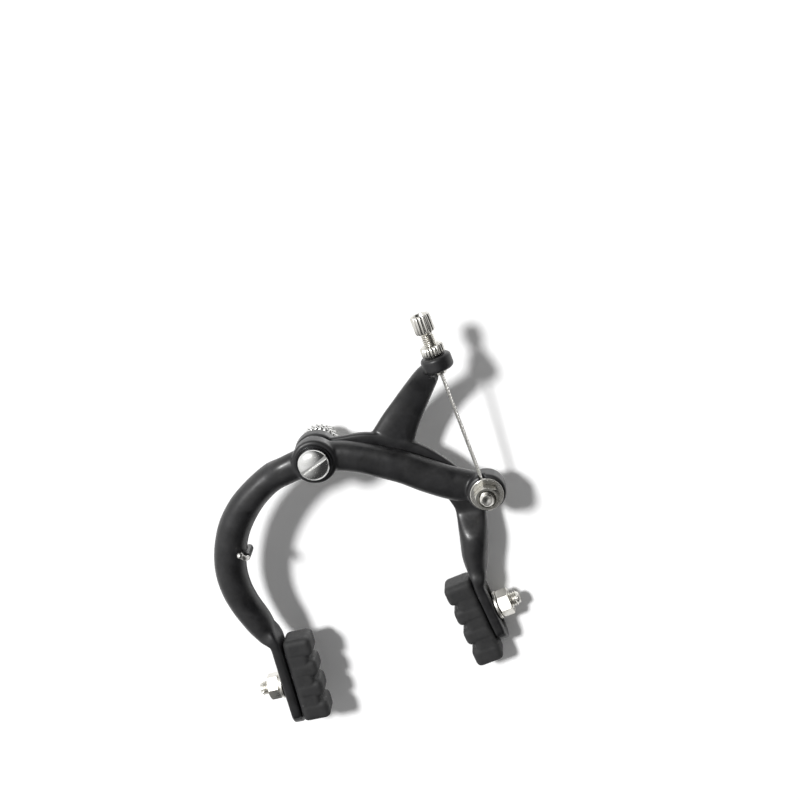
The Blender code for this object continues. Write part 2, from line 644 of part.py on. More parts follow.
def make_adjuster():
    """Barrel adjuster with a cup for the outer cable, and its knurled lock nut."""
    nut_low = HANGER_T / 2 + GAP
    nut_high = nut_low + LOCK_NUT_T
    head_low = nut_high + STEM_SHOWN
    head_high = head_low + BARREL_T
    foot = -HANGER_T / 2 - STEM_BELOW
    barrel = fluted("barrel_adjuster", BARREL_D / 2, FLUTE_DEPTH, BARREL_FLUTES, head_low,
                    head_high, HANGER_FRAME)
    stem = rod("stem", STEM_D / 2, foot, head_low + BARREL_T / 4, HANGER_FRAME, collection)
    combine(barrel, [stem], "UNION")
    wire_hole = WIRE_D / 2 + WIRE_ROOM
    combine(barrel, [rod("wire_hole", wire_hole, foot - GAP, head_high + GAP, HANGER_FRAME, steps=16),
                     rod("cup", CUP_D / 2, head_high - CUP_DEPTH, head_high + GAP, HANGER_FRAME)],
            "DIFFERENCE")
    finish(barrel, "barrel_adjuster", *CHROME)
    set_origin(barrel, HANGER_FRAME.to_translation())
    nut = fluted("adjuster_lock_nut", LOCK_NUT_D / 2, FLUTE_DEPTH, LOCK_NUT_FLUTES, nut_low,
                 nut_high, HANGER_FRAME)
    combine(nut, [rod("bore", STEM_D / 2 + GAP, nut_low - GAP, nut_high + GAP, HANGER_FRAME)],
            "DIFFERENCE")
    finish(nut, "adjuster_lock_nut", *CHROME)
    set_origin(nut, HANGER_FRAME.to_translation())
    seat = head_high - CUP_DEPTH + GAP
    head = turned("wire_head", [(0, seat + NIPPLE_T), (NIPPLE_D / 2 - GAP, seat + NIPPLE_T),
                                (NIPPLE_D / 2, seat + NIPPLE_T - GAP), (NIPPLE_D / 2, seat),
                                (0, seat)], HANGER_FRAME, steps=20)
    finish(head, "wire_head", *STEEL)
    wire = wire_object("inner_wire", [(0, 0, -WIRE_TAIL), (0, 0, WIRE_SPAN / 2),
                                      (0, 0, WIRE_SPAN + seat - GAP)], WIRE_D, WIRE_FRAME)
    finish(wire, "inner_wire", *STEEL)
    set_origin(wire, WIRE_FRAME.to_translation())


def make_pad(side, word, drop):
    """Pad on one tongue: stud with its plate, rubber block, washer and nut."""
    frame = along_stud(side, drop)
    swivel = frame @ Matrix.Rotation(-side * PAD_SWIVEL, 4, "Z")
    axis_point = frame.to_translation()
    half = TONGUE_T / 2
    washer_low = half + GAP
    nut_low = washer_low + PAD_WASHER_T + GAP
    end = nut_low + PAD_NUT_T + PAD_STUD_END
    back = -half - GAP
    stud_r = PAD_STUD_D / 2
    washer = turned(word + "_pad_washer",
                    ring_profile(PAD_WASHER_D / 2, stud_r + GAP, washer_low,
                                 washer_low + PAD_WASHER_T, GAP), frame)
    finish(washer, word + "_pad_washer", *CHROME)
    nut = hex_nut(word + "_pad_nut", PAD_NUT_AF, nut_low, nut_low + PAD_NUT_T, stud_r + GAP, frame)
    finish(nut, word + "_pad_nut", *CHROME)

    plate_length = BLOCK_LENGTH - 2 * PLATE_RIM
    plate_depth = BLOCK_DEPTH - 2 * PLATE_RIM
    stud = box(word + "_pad_stud", (plate_length, plate_depth, PLATE_T),
               swivel @ Matrix.Translation((BLOCK_OFFSET, 0, back - PLATE_T / 2)), collection)
    shank = rod("shank", stud_r, back - PLATE_T / 2, end, swivel, collection)
    combine(stud, [shank], "UNION")
    finish(stud, word + "_pad_stud", *CHROME)

    block = box(word + "_brake_block", (BLOCK_LENGTH, BLOCK_DEPTH, BLOCK_THICK),
                swivel @ Matrix.Translation((BLOCK_OFFSET, 0, back - BLOCK_THICK / 2)), collection,
                edge=BLOCK_EDGE, segments=3)
    pocket = box("pocket", (plate_length + 2 * GAP, plate_depth + 2 * GAP, 2 * (PLATE_T + GAP)),
                 swivel @ Matrix.Translation((BLOCK_OFFSET, 0, back)))
    pitch = BLOCK_LENGTH / PAD_BLOCKS
    grooves = []
    for number in range(1, PAD_BLOCKS):
        place = BLOCK_OFFSET + number * pitch - BLOCK_LENGTH / 2
        grooves.append(box("groove", (PAD_GROOVE_W, 2 * BLOCK_DEPTH, 2 * PAD_GROOVE_DEPTH),
                           swivel @ Matrix.Translation((place, 0, back - BLOCK_THICK))))
    combine(block, [pocket] + grooves, "DIFFERENCE")
    finish(block, word + "_brake_block", *RUBBER)
    for piece in (washer, nut, stud, block):
        set_origin(piece, axis_point)


def build():
    for obj in list(bpy.data.objects):
        bpy.data.objects.remove(obj)
    for group in (collection, cutters):
        bpy.context.scene.collection.children.link(group)
    make_centre_bolt()
    make_bolt_rings()
    make_spring_block()
    make_return_spring()
    make_front_arm()
    make_rear_arm()
    make_anchor()
    make_adjuster()
    make_pad(-1, "left", LEFT_STUD_DROP)
    make_pad(1, "right", RIGHT_STUD_DROP)


build()
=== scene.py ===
"""Side-pull caliper brake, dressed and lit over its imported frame, in metres."""

import math

import bmesh
import bpy
from mathutils import Matrix, Vector


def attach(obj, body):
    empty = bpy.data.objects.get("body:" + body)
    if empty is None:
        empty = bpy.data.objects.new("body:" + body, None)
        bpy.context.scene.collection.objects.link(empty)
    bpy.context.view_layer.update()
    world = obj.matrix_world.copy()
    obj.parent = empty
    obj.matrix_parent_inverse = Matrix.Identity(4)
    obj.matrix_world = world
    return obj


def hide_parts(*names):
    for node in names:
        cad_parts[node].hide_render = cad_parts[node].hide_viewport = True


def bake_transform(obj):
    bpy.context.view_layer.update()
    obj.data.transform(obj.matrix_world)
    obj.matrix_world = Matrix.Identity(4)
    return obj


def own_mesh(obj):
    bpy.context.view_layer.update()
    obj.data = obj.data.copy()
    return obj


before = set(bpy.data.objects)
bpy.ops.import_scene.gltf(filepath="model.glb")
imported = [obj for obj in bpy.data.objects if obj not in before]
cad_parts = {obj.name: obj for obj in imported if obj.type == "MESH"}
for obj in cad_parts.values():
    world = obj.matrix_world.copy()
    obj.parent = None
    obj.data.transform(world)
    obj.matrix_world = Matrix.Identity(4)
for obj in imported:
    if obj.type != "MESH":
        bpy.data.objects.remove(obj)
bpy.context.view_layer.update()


# The centre bolt is turned from steel and chrome plated: a low domed head with
# a screwdriver slot, and a shank through both arms that ends in a plain thread.
# It is the pivot that everything else hangs on.
BOLT_R = 0.0030
BOLT_REAR = 0.0126
HEAD_R = 0.0065
HEAD_REAR = -0.0255
HEAD_RIM = 0.0014
HEAD_DOME = 0.0024
DOME_STEPS = 14
DRIVER_SLOT = (0.0156, 0.0038, 0.0016)
SLOT_TURN = math.radians(-18)


def along_y(x=0.0, z=0.0):
    """Frame whose local +Z runs to the rear, as the bolt does."""
    return Matrix.Translation((x, 0, z)) @ Matrix.Rotation(-math.pi / 2, 4, "X")


def edges_of(verts):
    """Edges that end at any of these vertices, each once and in the mesh's order."""
    return list(dict.fromkeys(e for v in verts for e in v.link_edges))


def faces_of(verts):
    """Faces that have any of these vertices, each once and in the mesh's order."""
    return list(dict.fromkeys(f for v in verts for f in v.link_faces))


def turned(profile, matrix, steps=96, bm=None):
    """Turn an outline of (radius, height) about its axis, as on a lathe."""
    bm = bm or bmesh.new()
    verts = [bm.verts.new((radius, 0, height)) for radius, height in profile]
    edges = [bm.edges.new(pair) for pair in zip(verts, verts[1:])]
    if profile[0][0] > 0:
        edges.append(bm.edges.new((verts[-1], verts[0])))
    before = set(bm.verts) - set(verts)
    bmesh.ops.spin(bm, geom=verts + edges, cent=(0, 0, 0), axis=(0, 0, 1),
                   angle=math.tau, steps=steps, use_merge=True)
    fresh = [v for v in bm.verts if v not in before]
    bmesh.ops.remove_doubles(bm, verts=fresh, dist=1e-7)
    fresh = [v for v in bm.verts if v not in before]
    bmesh.ops.recalc_face_normals(bm, faces=faces_of(fresh))
    bmesh.ops.transform(bm, matrix=matrix, verts=fresh)
    return bm


def wind_thread(bm, radius, pitch, low, high, matrix, per_turn=28):
    """Wind a V ridge up a shank, so that it reads as a cut thread."""
    depth = 0.58 * pitch
    outline = ((radius - depth, -0.46), (radius, -0.07), (radius, 0.07), (radius - depth, 0.46))
    verts = [bm.verts.new((out, 0, low + up * pitch)) for out, up in outline]
    edges = [bm.edges.new((verts[k], verts[(k + 1) % 4])) for k in range(4)]
    before = set(bm.verts) - set(verts)
    turns = (high - low) / pitch
    wound = bmesh.ops.spin(bm, geom=verts + edges, cent=(0, 0, 0), axis=(0, 0, 1),
                           dvec=(0, 0, pitch / per_turn), angle=math.tau * turns,
                           steps=round(per_turn * turns), use_merge=False)
    last = [g for g in wound["geom_last"] if isinstance(g, bmesh.types.BMEdge)]
    bmesh.ops.contextual_create(bm, geom=edges)
    bmesh.ops.contextual_create(bm, geom=last)
    fresh = [v for v in bm.verts if v not in before]
    bmesh.ops.recalc_face_normals(bm, faces=faces_of(fresh))
    bmesh.ops.transform(bm, matrix=matrix, verts=fresh)
    return bm


def box(size, matrix):
    """Give a plain box in a bmesh of its own, centred in a frame."""
    bm = bmesh.new()
    bmesh.ops.create_cube(bm, size=1)
    bmesh.ops.scale(bm, vec=size, verts=bm.verts[:])
    bmesh.ops.transform(bm, matrix=matrix, verts=bm.verts[:])
    return bm


def solid(name, bm):
    """Make an object of a bmesh, with its place in the mesh."""
    mesh = bpy.data.meshes.new(name)
    bm.to_mesh(mesh)
    bm.free()
    obj = bpy.data.objects.new(name, mesh)
    bpy.context.scene.collection.objects.link(obj)
    return obj


def baked(obj):
    """Fix an object's modifiers in its mesh."""
    graph = bpy.context.evaluated_depsgraph_get()
    mesh = bpy.data.meshes.new_from_object(obj.evaluated_get(graph))
    obj.modifiers.clear()
    old = obj.data
    obj.data = mesh
    bpy.data.meshes.remove(old)


def shaped(obj, operation, bm):
    """Cut away, or keep alone, what a second solid covers, as a milling cutter does."""
    tool = solid("tool", bm)
    modifier = obj.modifiers.new("tool", "BOOLEAN")
    modifier.operation = operation
    modifier.solver = "EXACT"
    modifier.object = tool
    baked(obj)
    bpy.data.objects.remove(tool)
    return obj


def threaded(obj, radius, pitch, low, high, matrix):
    """Wind a thread on a piece that is otherwise finished."""
    bm = bmesh.new()
    bm.from_mesh(obj.data)
    wind_thread(bm, radius, pitch, low, high, matrix)
    bm.to_mesh(obj.data)
    bm.free()


def fitted(obj, body, material, *nodes, edge=0.0, segments=2):
    """Ease a piece's edges, give it its finish and hang it in place of its CAD nodes."""
    obj.data.materials.clear()
    obj.data.materials.append(material)
    obj.data.shade_smooth()
    if edge:
        bevel = obj.modifiers.new("eased_edges", "BEVEL")
        bevel.width = edge
        bevel.segments = segments
        bevel.limit_method = "ANGLE"
        bevel.angle_limit = math.radians(32)
        bevel.use_clamp_overlap = True
        bevel.harden_normals = True
    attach(obj, body)
    if nodes:
        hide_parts(*nodes)


def feed(tree, node, feeds):
    """Set a node's inputs: numbers as they are, other nodes' outputs as links."""
    for key, value in feeds.items():
        if isinstance(value, bpy.types.NodeSocket):
            tree.links.new(value, node.inputs[key])
        else:
            node.inputs[key].default_value = value
    return node


def add(tree, kind, feeds, **settings):
    """Add one shader node, with its settings and what its inputs are fed."""
    made = tree.nodes.new(kind)
    for key, value in settings.items():
        setattr(made, key, value)
    return feed(tree, made, feeds)


def noise(tree, vector, scale, detail, roughness=0.5, distortion=0.0):
    """Add cloudy noise and give its value."""
    return add(tree, "ShaderNodeTexNoise", {
        "Vector": vector, "Scale": scale, "Detail": detail, "Roughness": roughness,
        "Distortion": distortion}).outputs["Fac"]


def ranged(tree, value, span=(0.0, 1.0), onto=(0.0, 1.0), **settings):
    """Stretch a span of a value onto another, held at its ends."""
    return add(tree, "ShaderNodeMapRange", {
        "Value": value, "From Min": span[0], "From Max": span[1], "To Min": onto[0],
        "To Max": onto[1]}, **settings).outputs["Result"]


def worked(tree, operation, first, second, **settings):
    """Work out one sum, difference, product or maximum."""
    return add(tree, "ShaderNodeMath", {0: first, 1: second}, operation=operation,
               **settings).outputs["Value"]


def mixed(tree, mask, first, second):
    """Mix two colours by a mask; each is an output or a plain (red, green, blue)."""
    feeds = {"Factor": mask}
    for key, colour in ((6, first), (7, second)):
        feeds[key] = colour if isinstance(colour, bpy.types.NodeSocket) else (*colour, 1)
    return add(tree, "ShaderNodeMix", feeds, data_type="RGBA").outputs[2]


def bumped(tree, height, distance):
    """Turn a height into a bumped normal."""
    return add(tree, "ShaderNodeBump", {"Strength": 1.0, "Distance": distance,
                                        "Height": height}).outputs["Normal"]


def effect(name, numbers, outputs):
    """Start a shader group: a vector and numbers go in, and floats come out."""
    group = bpy.data.node_groups.new(name, "ShaderNodeTree")
    group.interface.new_socket("Vector", in_out="INPUT", socket_type="NodeSocketVector")
    for label, value in numbers.items():
        socket = group.interface.new_socket(label, in_out="INPUT", socket_type="NodeSocketFloat")
        socket.default_value = value
    for label in outputs:
        group.interface.new_socket(label, in_out="OUTPUT", socket_type="NodeSocketFloat")
    return group, group.nodes.new("NodeGroupInput").outputs, group.nodes.new("NodeGroupOutput")


def laid(tree, group, feeds):
    """Lay an effect over a material and give its masks or heights."""
    return add(tree, "ShaderNodeGroup", feeds, node_tree=group).outputs


def started(name, numbers):
    """Start a material; give it with its tree, its shader and the place on the piece."""
    mat = bpy.data.materials.new(name)
    mat.use_nodes = True
    tree = mat.node_tree
    shader = feed(tree, tree.nodes["Principled BSDF"], numbers)
    return mat, tree, shader, tree.nodes.new("ShaderNodeTexCoord").outputs["Object"]


def make_handling_marks():
    """Soft smears and small flecks that handling leaves on any plated or painted part."""
    group, given, out = effect("handling_marks",
                               {"Smear Size": 220.0, "Fleck Size": 1800.0, "Flecks": 0.3},
                               ("Smears", "Flecks"))
    smear = noise(group, given["Vector"], given["Smear Size"], 5.0, 0.62, 0.8)
    fleck = noise(group, given["Vector"], given["Fleck Size"], 2.0)
    lifted = ranged(group, fleck, (0.66, 0.74))
    feed(group, out, {"Smears": ranged(group, smear, (0.32, 0.68)),
                      "Flecks": worked(group, "MULTIPLY", lifted, given["Flecks"])})
    return group


def make_turning_marks():
    """Fine rings left by a lathe tool or a polishing wheel round the local Z axis."""
    group, given, out = effect("turning_marks", {"Rings": 2600.0, "Scratches": 0.35},
                               ("Height",))
    rings = add(group, "ShaderNodeTexWave", {
        "Vector": given["Vector"], "Scale": given["Rings"], "Distortion": 1.6, "Detail": 3.0,
        "Detail Scale": 0.6, "Detail Roughness": 0.7},
        wave_type="RINGS", rings_direction="Z", wave_profile="SIN")
    long_way = add(group, "ShaderNodeMapping", {"Vector": given["Vector"],
                                                "Rotation": (0.0, 0.0, 0.7),
                                                "Scale": (400.0, 5200.0, 400.0)})
    scratch = noise(group, long_way.outputs["Vector"], 1.0, 2.0, 0.4)
    scored = worked(group, "MULTIPLY", ranged(group, scratch, (0.60, 0.72)), given["Scratches"])
    feed(group, out, {"Height": worked(group, "SUBTRACT", rings.outputs["Fac"], scored)})
    return group


HANDLING = make_handling_marks()
TURNING = make_turning_marks()


def plated(name, matrix, bright, dull, smooth, rough, rings=2600.0, relief=0.0000012):
    """Plated steel, turned about the given frame: smears, stains and fine tool rings."""
    mat, tree, shader, place = started(name, {"Metallic": 1.0})
    local = add(tree, "ShaderNodeMapping", {
        "Vector": place, "Location": matrix.to_translation(), "Rotation": matrix.to_euler()},
        vector_type="TEXTURE").outputs["Vector"]
    marks = laid(tree, HANDLING, {"Vector": local})
    tool = laid(tree, TURNING, {"Vector": local, "Rings": rings})
    haze = ranged(tree, marks["Smears"], onto=(smooth, rough))
    feed(tree, shader, {"Base Color": mixed(tree, marks["Smears"], bright, dull),
                        "Roughness": worked(tree, "ADD", haze, marks["Flecks"]),
                        "Normal": bumped(tree, tool["Height"], relief)})
    return mat


CHROME_BRIGHT = (0.80, 0.80, 0.79)
CHROME_DULL = (0.66, 0.66, 0.64)

rim_face = HEAD_REAR - HEAD_RIM
head_outline = [(0, BOLT_REAR), (BOLT_R - 0.0009, BOLT_REAR),
                (BOLT_R - 0.0006, BOLT_REAR - 0.0005), (BOLT_R - 0.0006, 0.0030),
                (BOLT_R, 0.0022), (BOLT_R, HEAD_REAR), (HEAD_R, HEAD_REAR), (HEAD_R, rim_face)]
for step in range(1, DOME_STEPS):
    turn = math.pi / 2 * step / DOME_STEPS
    head_outline.append((HEAD_R * math.cos(turn), rim_face - HEAD_DOME * math.sin(turn)))
head_outline.append((0, rim_face - HEAD_DOME))
bolt = solid("centre_bolt_dressed", turned(head_outline, along_y(), steps=128))
shaped(bolt, "DIFFERENCE", box(DRIVER_SLOT, Matrix.Translation((0, rim_face - HEAD_DOME, 0))
                               @ Matrix.Rotation(SLOT_TURN, 4, "Y")))
threaded(bolt, BOLT_R, 0.0010, 0.0034, BOLT_REAR - 0.0009, along_y())
fitted(bolt, "pivot", plated("chrome_bolt", along_y(), CHROME_BRIGHT, CHROME_DULL, 0.10, 0.24),
       "centre_bolt", edge=0.00018)


# Two serrated washers and a nut clamp the caliper to the bicycle behind the
# arms. They are pressed steel, chrome plated, with raised ribs that bite.
RIBS = 22
BORE_R = BOLT_R + 0.0003


def ribbed_washer(low, high, radius, bore, matrix):
    """Turn a washer with a dished face, then press radial ribs into its rim and faces."""
    middle = (low + high) / 2
    outline = [(bore, high - 0.0002), (bore + 0.0016, high), (radius - 0.0011, high),
               (radius - 0.0004, high - 0.0003), (radius, high - 0.0009),
               (radius, low + 0.0009), (radius - 0.0004, low + 0.0003),
               (radius - 0.0011, low), (bore + 0.0016, low), (bore, low + 0.0002)]
    bm = turned(outline, Matrix.Identity(4), steps=RIBS * 10)
    for vert in bm.verts:
        out = vert.co.xy.length
        if out > bore + 0.0010:
            share = min((out - bore - 0.0010) / 0.0022, 1)
            wave = 0.5 - 0.5 * math.cos(RIBS * math.atan2(vert.co.y, vert.co.x))
            sunk = wave ** 1.6 * share
            vert.co.xy *= 1 - 0.0008 * sunk / out
            vert.co.z += (middle - vert.co.z) * 0.34 * sunk
    bmesh.ops.transform(bm, matrix=matrix, verts=bm.verts[:])
    return bm


def hex_nut(name, across_flats, low, high, bore, matrix):
    """Mill a hexagon whose corners are turned off on both faces, with a plain bore."""
    corner = across_flats / math.sqrt(3)
    ease = (corner - across_flats / 2) * 0.9
    outline = [(bore + 0.0004, high), (corner - ease, high), (corner + 0.0003, high - ease),
               (corner + 0.0003, low + ease), (corner - ease, low), (bore + 0.0004, low),
               (bore, low + 0.0004), (bore, high - 0.0004)]
    blank = solid(name, turned(outline, matrix, steps=72))
    flats = bmesh.new()
    bmesh.ops.create_cone(flats, cap_ends=True, segments=6, radius1=corner, radius2=corner,
                          depth=high - low + 0.0006)
    bmesh.ops.translate(flats, vec=(0, 0, (low + high) / 2), verts=flats.verts[:])
    bmesh.ops.transform(flats, matrix=matrix, verts=flats.verts[:])
    return shaped(blank, "INTERSECT", flats)


ZINC_BRIGHT = (0.72, 0.71, 0.68)
ZINC_DULL = (0.50, 0.49, 0.46)
seat_chrome = plated("chrome_seat", along_y(), CHROME_BRIGHT, CHROME_DULL, 0.14, 0.30)
for word, low, high in (("seat_washer", -0.0024, 0.0), ("toothed_washer", 0.0003, 0.0027)):
    ribbed = solid(word + "_dressed", ribbed_washer(low, high, 0.0080, BORE_R, along_y()))
    fitted(ribbed, "pivot", seat_chrome, word)
mounting_nut = hex_nut("mounting_nut_dressed", 0.0100, 0.0030, 0.0080, BORE_R, along_y())
fitted(mounting_nut, "pivot",
       plated("zinc_mounting_nut", along_y(), ZINC_BRIGHT, ZINC_DULL, 0.22, 0.42),
       "mounting_nut", edge=0.00014)


# The spring block is a small sintered steel block with rounded corners. The
# bolt passes through its middle and the return spring through a hole below.
BLOCK_REAR = -0.0027
BLOCK_FRONT = -0.0073
SPRING_R = 0.0011
SPRING_HOLE_Z = -0.0058
CORNER_R = 0.0050


def drill(bm, radius, length, matrix, segments=40):
    """Add a plain drill, centred in a frame, to a set of cutting tools."""
    made = bmesh.ops.create_cone(bm, cap_ends=True, segments=segments, radius1=radius,
                                 radius2=radius, depth=length)
    bmesh.ops.transform(bm, matrix=matrix, verts=made["verts"])
    return bm


block_y = (BLOCK_REAR + BLOCK_FRONT) / 2
block_bm = box((0.0150, BLOCK_REAR - BLOCK_FRONT, 0.0150),
               Matrix.Translation((0, block_y, -0.0030)))
upright = [e for e in block_bm.edges if abs(e.verts[0].co.y - e.verts[1].co.y) > 0.002]
bmesh.ops.bevel(block_bm, geom=upright, offset=CORNER_R, segments=12, profile=0.5,
                affect="EDGES", material=-1)
spring_block = solid("spring_block_dressed", block_bm)
sideways = Matrix.Translation((0, block_y, SPRING_HOLE_Z)) @ Matrix.Rotation(math.pi / 2, 4, "Y")
holes = drill(bmesh.new(), SPRING_R + 0.0003, 0.0200, sideways)
drill(holes, BORE_R, 0.0300, along_y())
shaped(spring_block, "DIFFERENCE", holes)
fitted(spring_block, "pivot",
       plated("sintered_block", along_y(), (0.34, 0.34, 0.34), (0.22, 0.22, 0.22), 0.38, 0.55,
              rings=900.0, relief=0.000003),
       "spring_block", edge=0.00035, segments=3)


# The return spring is one hard-drawn steel wire. It runs through the block and
# down behind both arms. Its left end comes forward through a lug and ends in a
# ball, and its right end hooks in behind the arm.
MID_Y = -0.0164


def catmull(points, at):
    """Smooth curve through points, with the whole part of at naming the span."""
    last = len(points) - 2
    span = min(int(at), last)
    t = at - span
    p0, p1, p2, p3 = (Vector(points[min(max(span + k, 0), last + 1)]) for k in (-1, 0, 1, 2))
    return 0.5 * (2 * p1 + (p2 - p0) * t + (2 * p0 - 5 * p1 + 4 * p2 - p3) * t * t
                  + (3 * p1 - p0 - 3 * p2 + p3) * t ** 3)


def lofted(bm, loops):
    """Bridge rings of edges, one to the next, and close the ends."""
    for loop, following in zip(loops, loops[1:]):
        bmesh.ops.bridge_loops(bm, edges=loop + following)
    for end in (loops[0], loops[-1]):
        bmesh.ops.contextual_create(bm, geom=end)
    bmesh.ops.recalc_face_normals(bm, faces=bm.faces[:])
    return bm


def drawn_wire(bm, points, radius, sides=16, per_span=6):
    """Draw a round wire along a route, its rings square to it."""
    steps = per_span * (len(points) - 1)
    path = [catmull(points, step / per_span) for step in range(steps + 1)]
    loops = []
    turn = None
    for k, here in enumerate(path):
        along = (path[min(k + 1, steps)] - path[max(k - 1, 0)]).normalized()
        if turn is None:
            turn = Vector((0, 0, 1)).rotation_difference(along)
        else:
            turn = last_along.rotation_difference(along) @ turn
        last_along = along
        made = bmesh.ops.create_circle(bm, cap_ends=False, radius=radius, segments=sides)
        bmesh.ops.transform(bm, matrix=Matrix.Translation(here) @ turn.to_matrix().to_4x4(),
                            verts=made["verts"])
        loops.append(edges_of(made["verts"]))
    return lofted(bm, loops)


def make_spring_steel():
    """Bright drawn wire: die lines along it and a little haze."""
    mat, tree, shader, place = started("spring_steel", {"Metallic": 1.0})
    marks = laid(tree, HANDLING, {"Vector": place})
    along = add(tree, "ShaderNodeMapping", {"Vector": place, "Rotation": (0.0, 0.6, 0.0),
                                            "Scale": (350.0, 7000.0, 7000.0)})
    lines = noise(tree, along.outputs["Vector"], 1.0, 2.0)
    feed(tree, shader, {
        "Base Color": mixed(tree, marks["Smears"], (0.74, 0.73, 0.70), (0.52, 0.51, 0.50)),
        "Roughness": ranged(tree, marks["Smears"], onto=(0.20, 0.36)),
        "Normal": bumped(tree, lines, 0.000004)})
    return mat


SPRING_STEEL = make_spring_steel()
left_y = MID_Y + 0.0060 + SPRING_R + 0.0006
right_y = MID_Y + 0.0072 + SPRING_R + 0.0006
front_y = MID_Y - 0.0060 - SPRING_R - 0.0006
nest_y = MID_Y + 0.0008 + SPRING_R + 0.0003
left_leg = ((-0.0005, block_y, SPRING_HOLE_Z), (-0.0075, block_y, SPRING_HOLE_Z),
            (-0.0150, block_y, -0.0064), (-0.0250, (left_y + block_y) / 2, -0.0090),
            (-0.0355, left_y, -0.0150), (-0.0430, left_y, -0.0222), (-0.0458, left_y, -0.0290),
            (-0.0442, left_y, -0.0328), (-0.0427, left_y - 0.0022, -0.0326),
            (-0.0421, MID_Y, -0.0320), (-0.0419, front_y + 0.0022, -0.0314),
            (-0.0424, front_y + 0.0003, -0.0306), (-0.0436, front_y, -0.0288))
right_leg = ((0.0005, block_y, SPRING_HOLE_Z), (0.0075, block_y, SPRING_HOLE_Z),
             (0.0150, block_y, -0.0064), (0.0250, (right_y + block_y) / 2, -0.0094),
             (0.0335, right_y, -0.0142), (0.0400, right_y, -0.0196), (0.0418, right_y, -0.0232),
             (0.0404, right_y, -0.0257), (0.0384, right_y - 0.0011, -0.0266),
             (0.0377, right_y - 0.0033, -0.0267), (0.0377, nest_y, -0.0267))
leg = drawn_wire(bmesh.new(), left_leg, SPRING_R)
ball = bmesh.ops.create_uvsphere(leg, u_segments=28, v_segments=18, radius=0.00140)
bmesh.ops.translate(leg, vec=left_leg[-1], verts=ball["verts"])
for word, body, bm, start, end in (
        ("return_spring_left", "left_side", leg, (-0.0095, 0, -0.0060), (-0.0400, 0, -0.0250)),
        ("return_spring_right", "right_side", drawn_wire(bmesh.new(), right_leg, SPRING_R),
         (0.0095, 0, -0.0060), (0.0370, 0, -0.0200))):
    spring = solid(word, bm)
    spring.data.materials.append(SPRING_STEEL)
    spring.data.shade_smooth()
    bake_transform(spring)
    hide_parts("return_spring")


# The rear arm is a Y-shaped aluminium forging, tumbled smooth and stoved in
# satin black: an eye on the bolt, the right limb with its flat pad tongue, and
# a tapering branch that carries the ring for the cable adjuster.
EYE_R = 0.0093
EYE_EASE = 0.0008
Y_EYE = (-0.0087, -0.0157)
NEST_IN = 0.0008
NEST_OUT = 0.0072
REAR_BAND = (NEST_IN, NEST_IN + 0.0014, NEST_OUT, 5, 2.5)
LIMB = (-0.0060, 0, 0.0060, 2.3, 2.3)
TONGUE = (-0.0070, 0, 0.0070, 7, 7)
BAND_W = 0.0126
TONGUE_LEAN = math.radians(5)
TONGUE_T = 0.0046
TONGUE_BELOW = {-1: 0.0215, 1: 0.0105}
SLOT_TOP = {-1: -0.0100, 1: -0.0115}
SLOT_FOOT = {-1: 0.0100, 1: 0.0030}
WIRE_Y = -0.02435
ANCHOR = Vector((0.0620, WIRE_Y, -0.0340))
HANGER = Vector((0.0605, WIRE_Y, 0.0242))
UP_WIRE = (HANGER - ANCHOR).normalized()
WIRE_TURN = Vector((0, 0, 1)).rotation_difference(UP_WIRE).to_matrix().to_4x4()
HANGER_FRAME = Matrix.Translation(HANGER) @ WIRE_TURN
WIRE_FRAME = Matrix.Translation(ANCHOR) @ WIRE_TURN
ANCHOR_FRAME = along_y(ANCHOR.x, ANCHOR.z)
TIP_R = 0.0070
PIN_R = 0.0015
FINE = 0.00035
SOFTEN = 6


def even(values, at):
    """Smooth curve through a list of numbers that never swings past them."""
    rises = [second - first for first, second in zip(values, values[1:])]
    span = min(int(at), len(rises) - 1)
    t = at - span
    slopes = []
    for k in (span, span + 1):
        before, after = rises[max(k - 1, 0)], rises[min(k, len(rises) - 1)]
        slopes.append(2 * before * after / (before + after) if before * after > 0 else 0)
    rise = rises[span]
    return (values[span] + slopes[0] * t + (3 * rise - 2 * slopes[0] - slopes[1]) * t * t
            + (slopes[0] + slopes[1] - 2 * rise) * t ** 3)


def forged(bm, stations, per_span=8, sides=44):
    """Draw a forging through stations of (x, z, width, section) along its length.

    A section is (front, widest, back, front squareness, back squareness), its
    first three given as distances behind the plane between the arms.
    """
    places = [(x, z, 0) for x, z, _, _ in stations]
    widths = [width for _, _, width, _ in stations]
    sections = list(zip(*(section for _, _, _, section in stations)))
    spans = len(stations) - 1
    loops = []
    for step in range(spans * per_span + 1):
        at = step / per_span
        here = catmull(places, at)
        along = (catmull(places, min(at + 0.02, spans))
                 - catmull(places, max(at - 0.02, 0))).normalized()
        half = even(widths, at) / 2
        front, widest, back, square_front, square_back = (even(row, at) for row in sections)
        made = bmesh.ops.create_circle(bm, cap_ends=False, radius=1, segments=sides)
        for vert in made["verts"]:
            c, s = vert.co.x, vert.co.y
            power = 2 / (square_back if s > 0 else square_front)
            across = half * math.copysign(abs(c) ** power, c)
            deep = (back - widest) if s > 0 else (widest - front)
            vert.co = (here.x - along.y * across,
                       MID_Y + widest + deep * math.copysign(abs(s) ** power, s),
                       here.y + along.x * across)
        loops.append(edges_of(made["verts"]))
    return lofted(bm, loops)


def tongue_point(side, down):
    """Point on a tongue's middle line, a distance down from the middle of its slot."""
    return (side * (0.0471 + down * math.sin(TONGUE_LEAN)),
            -0.0920 - down * math.cos(TONGUE_LEAN))


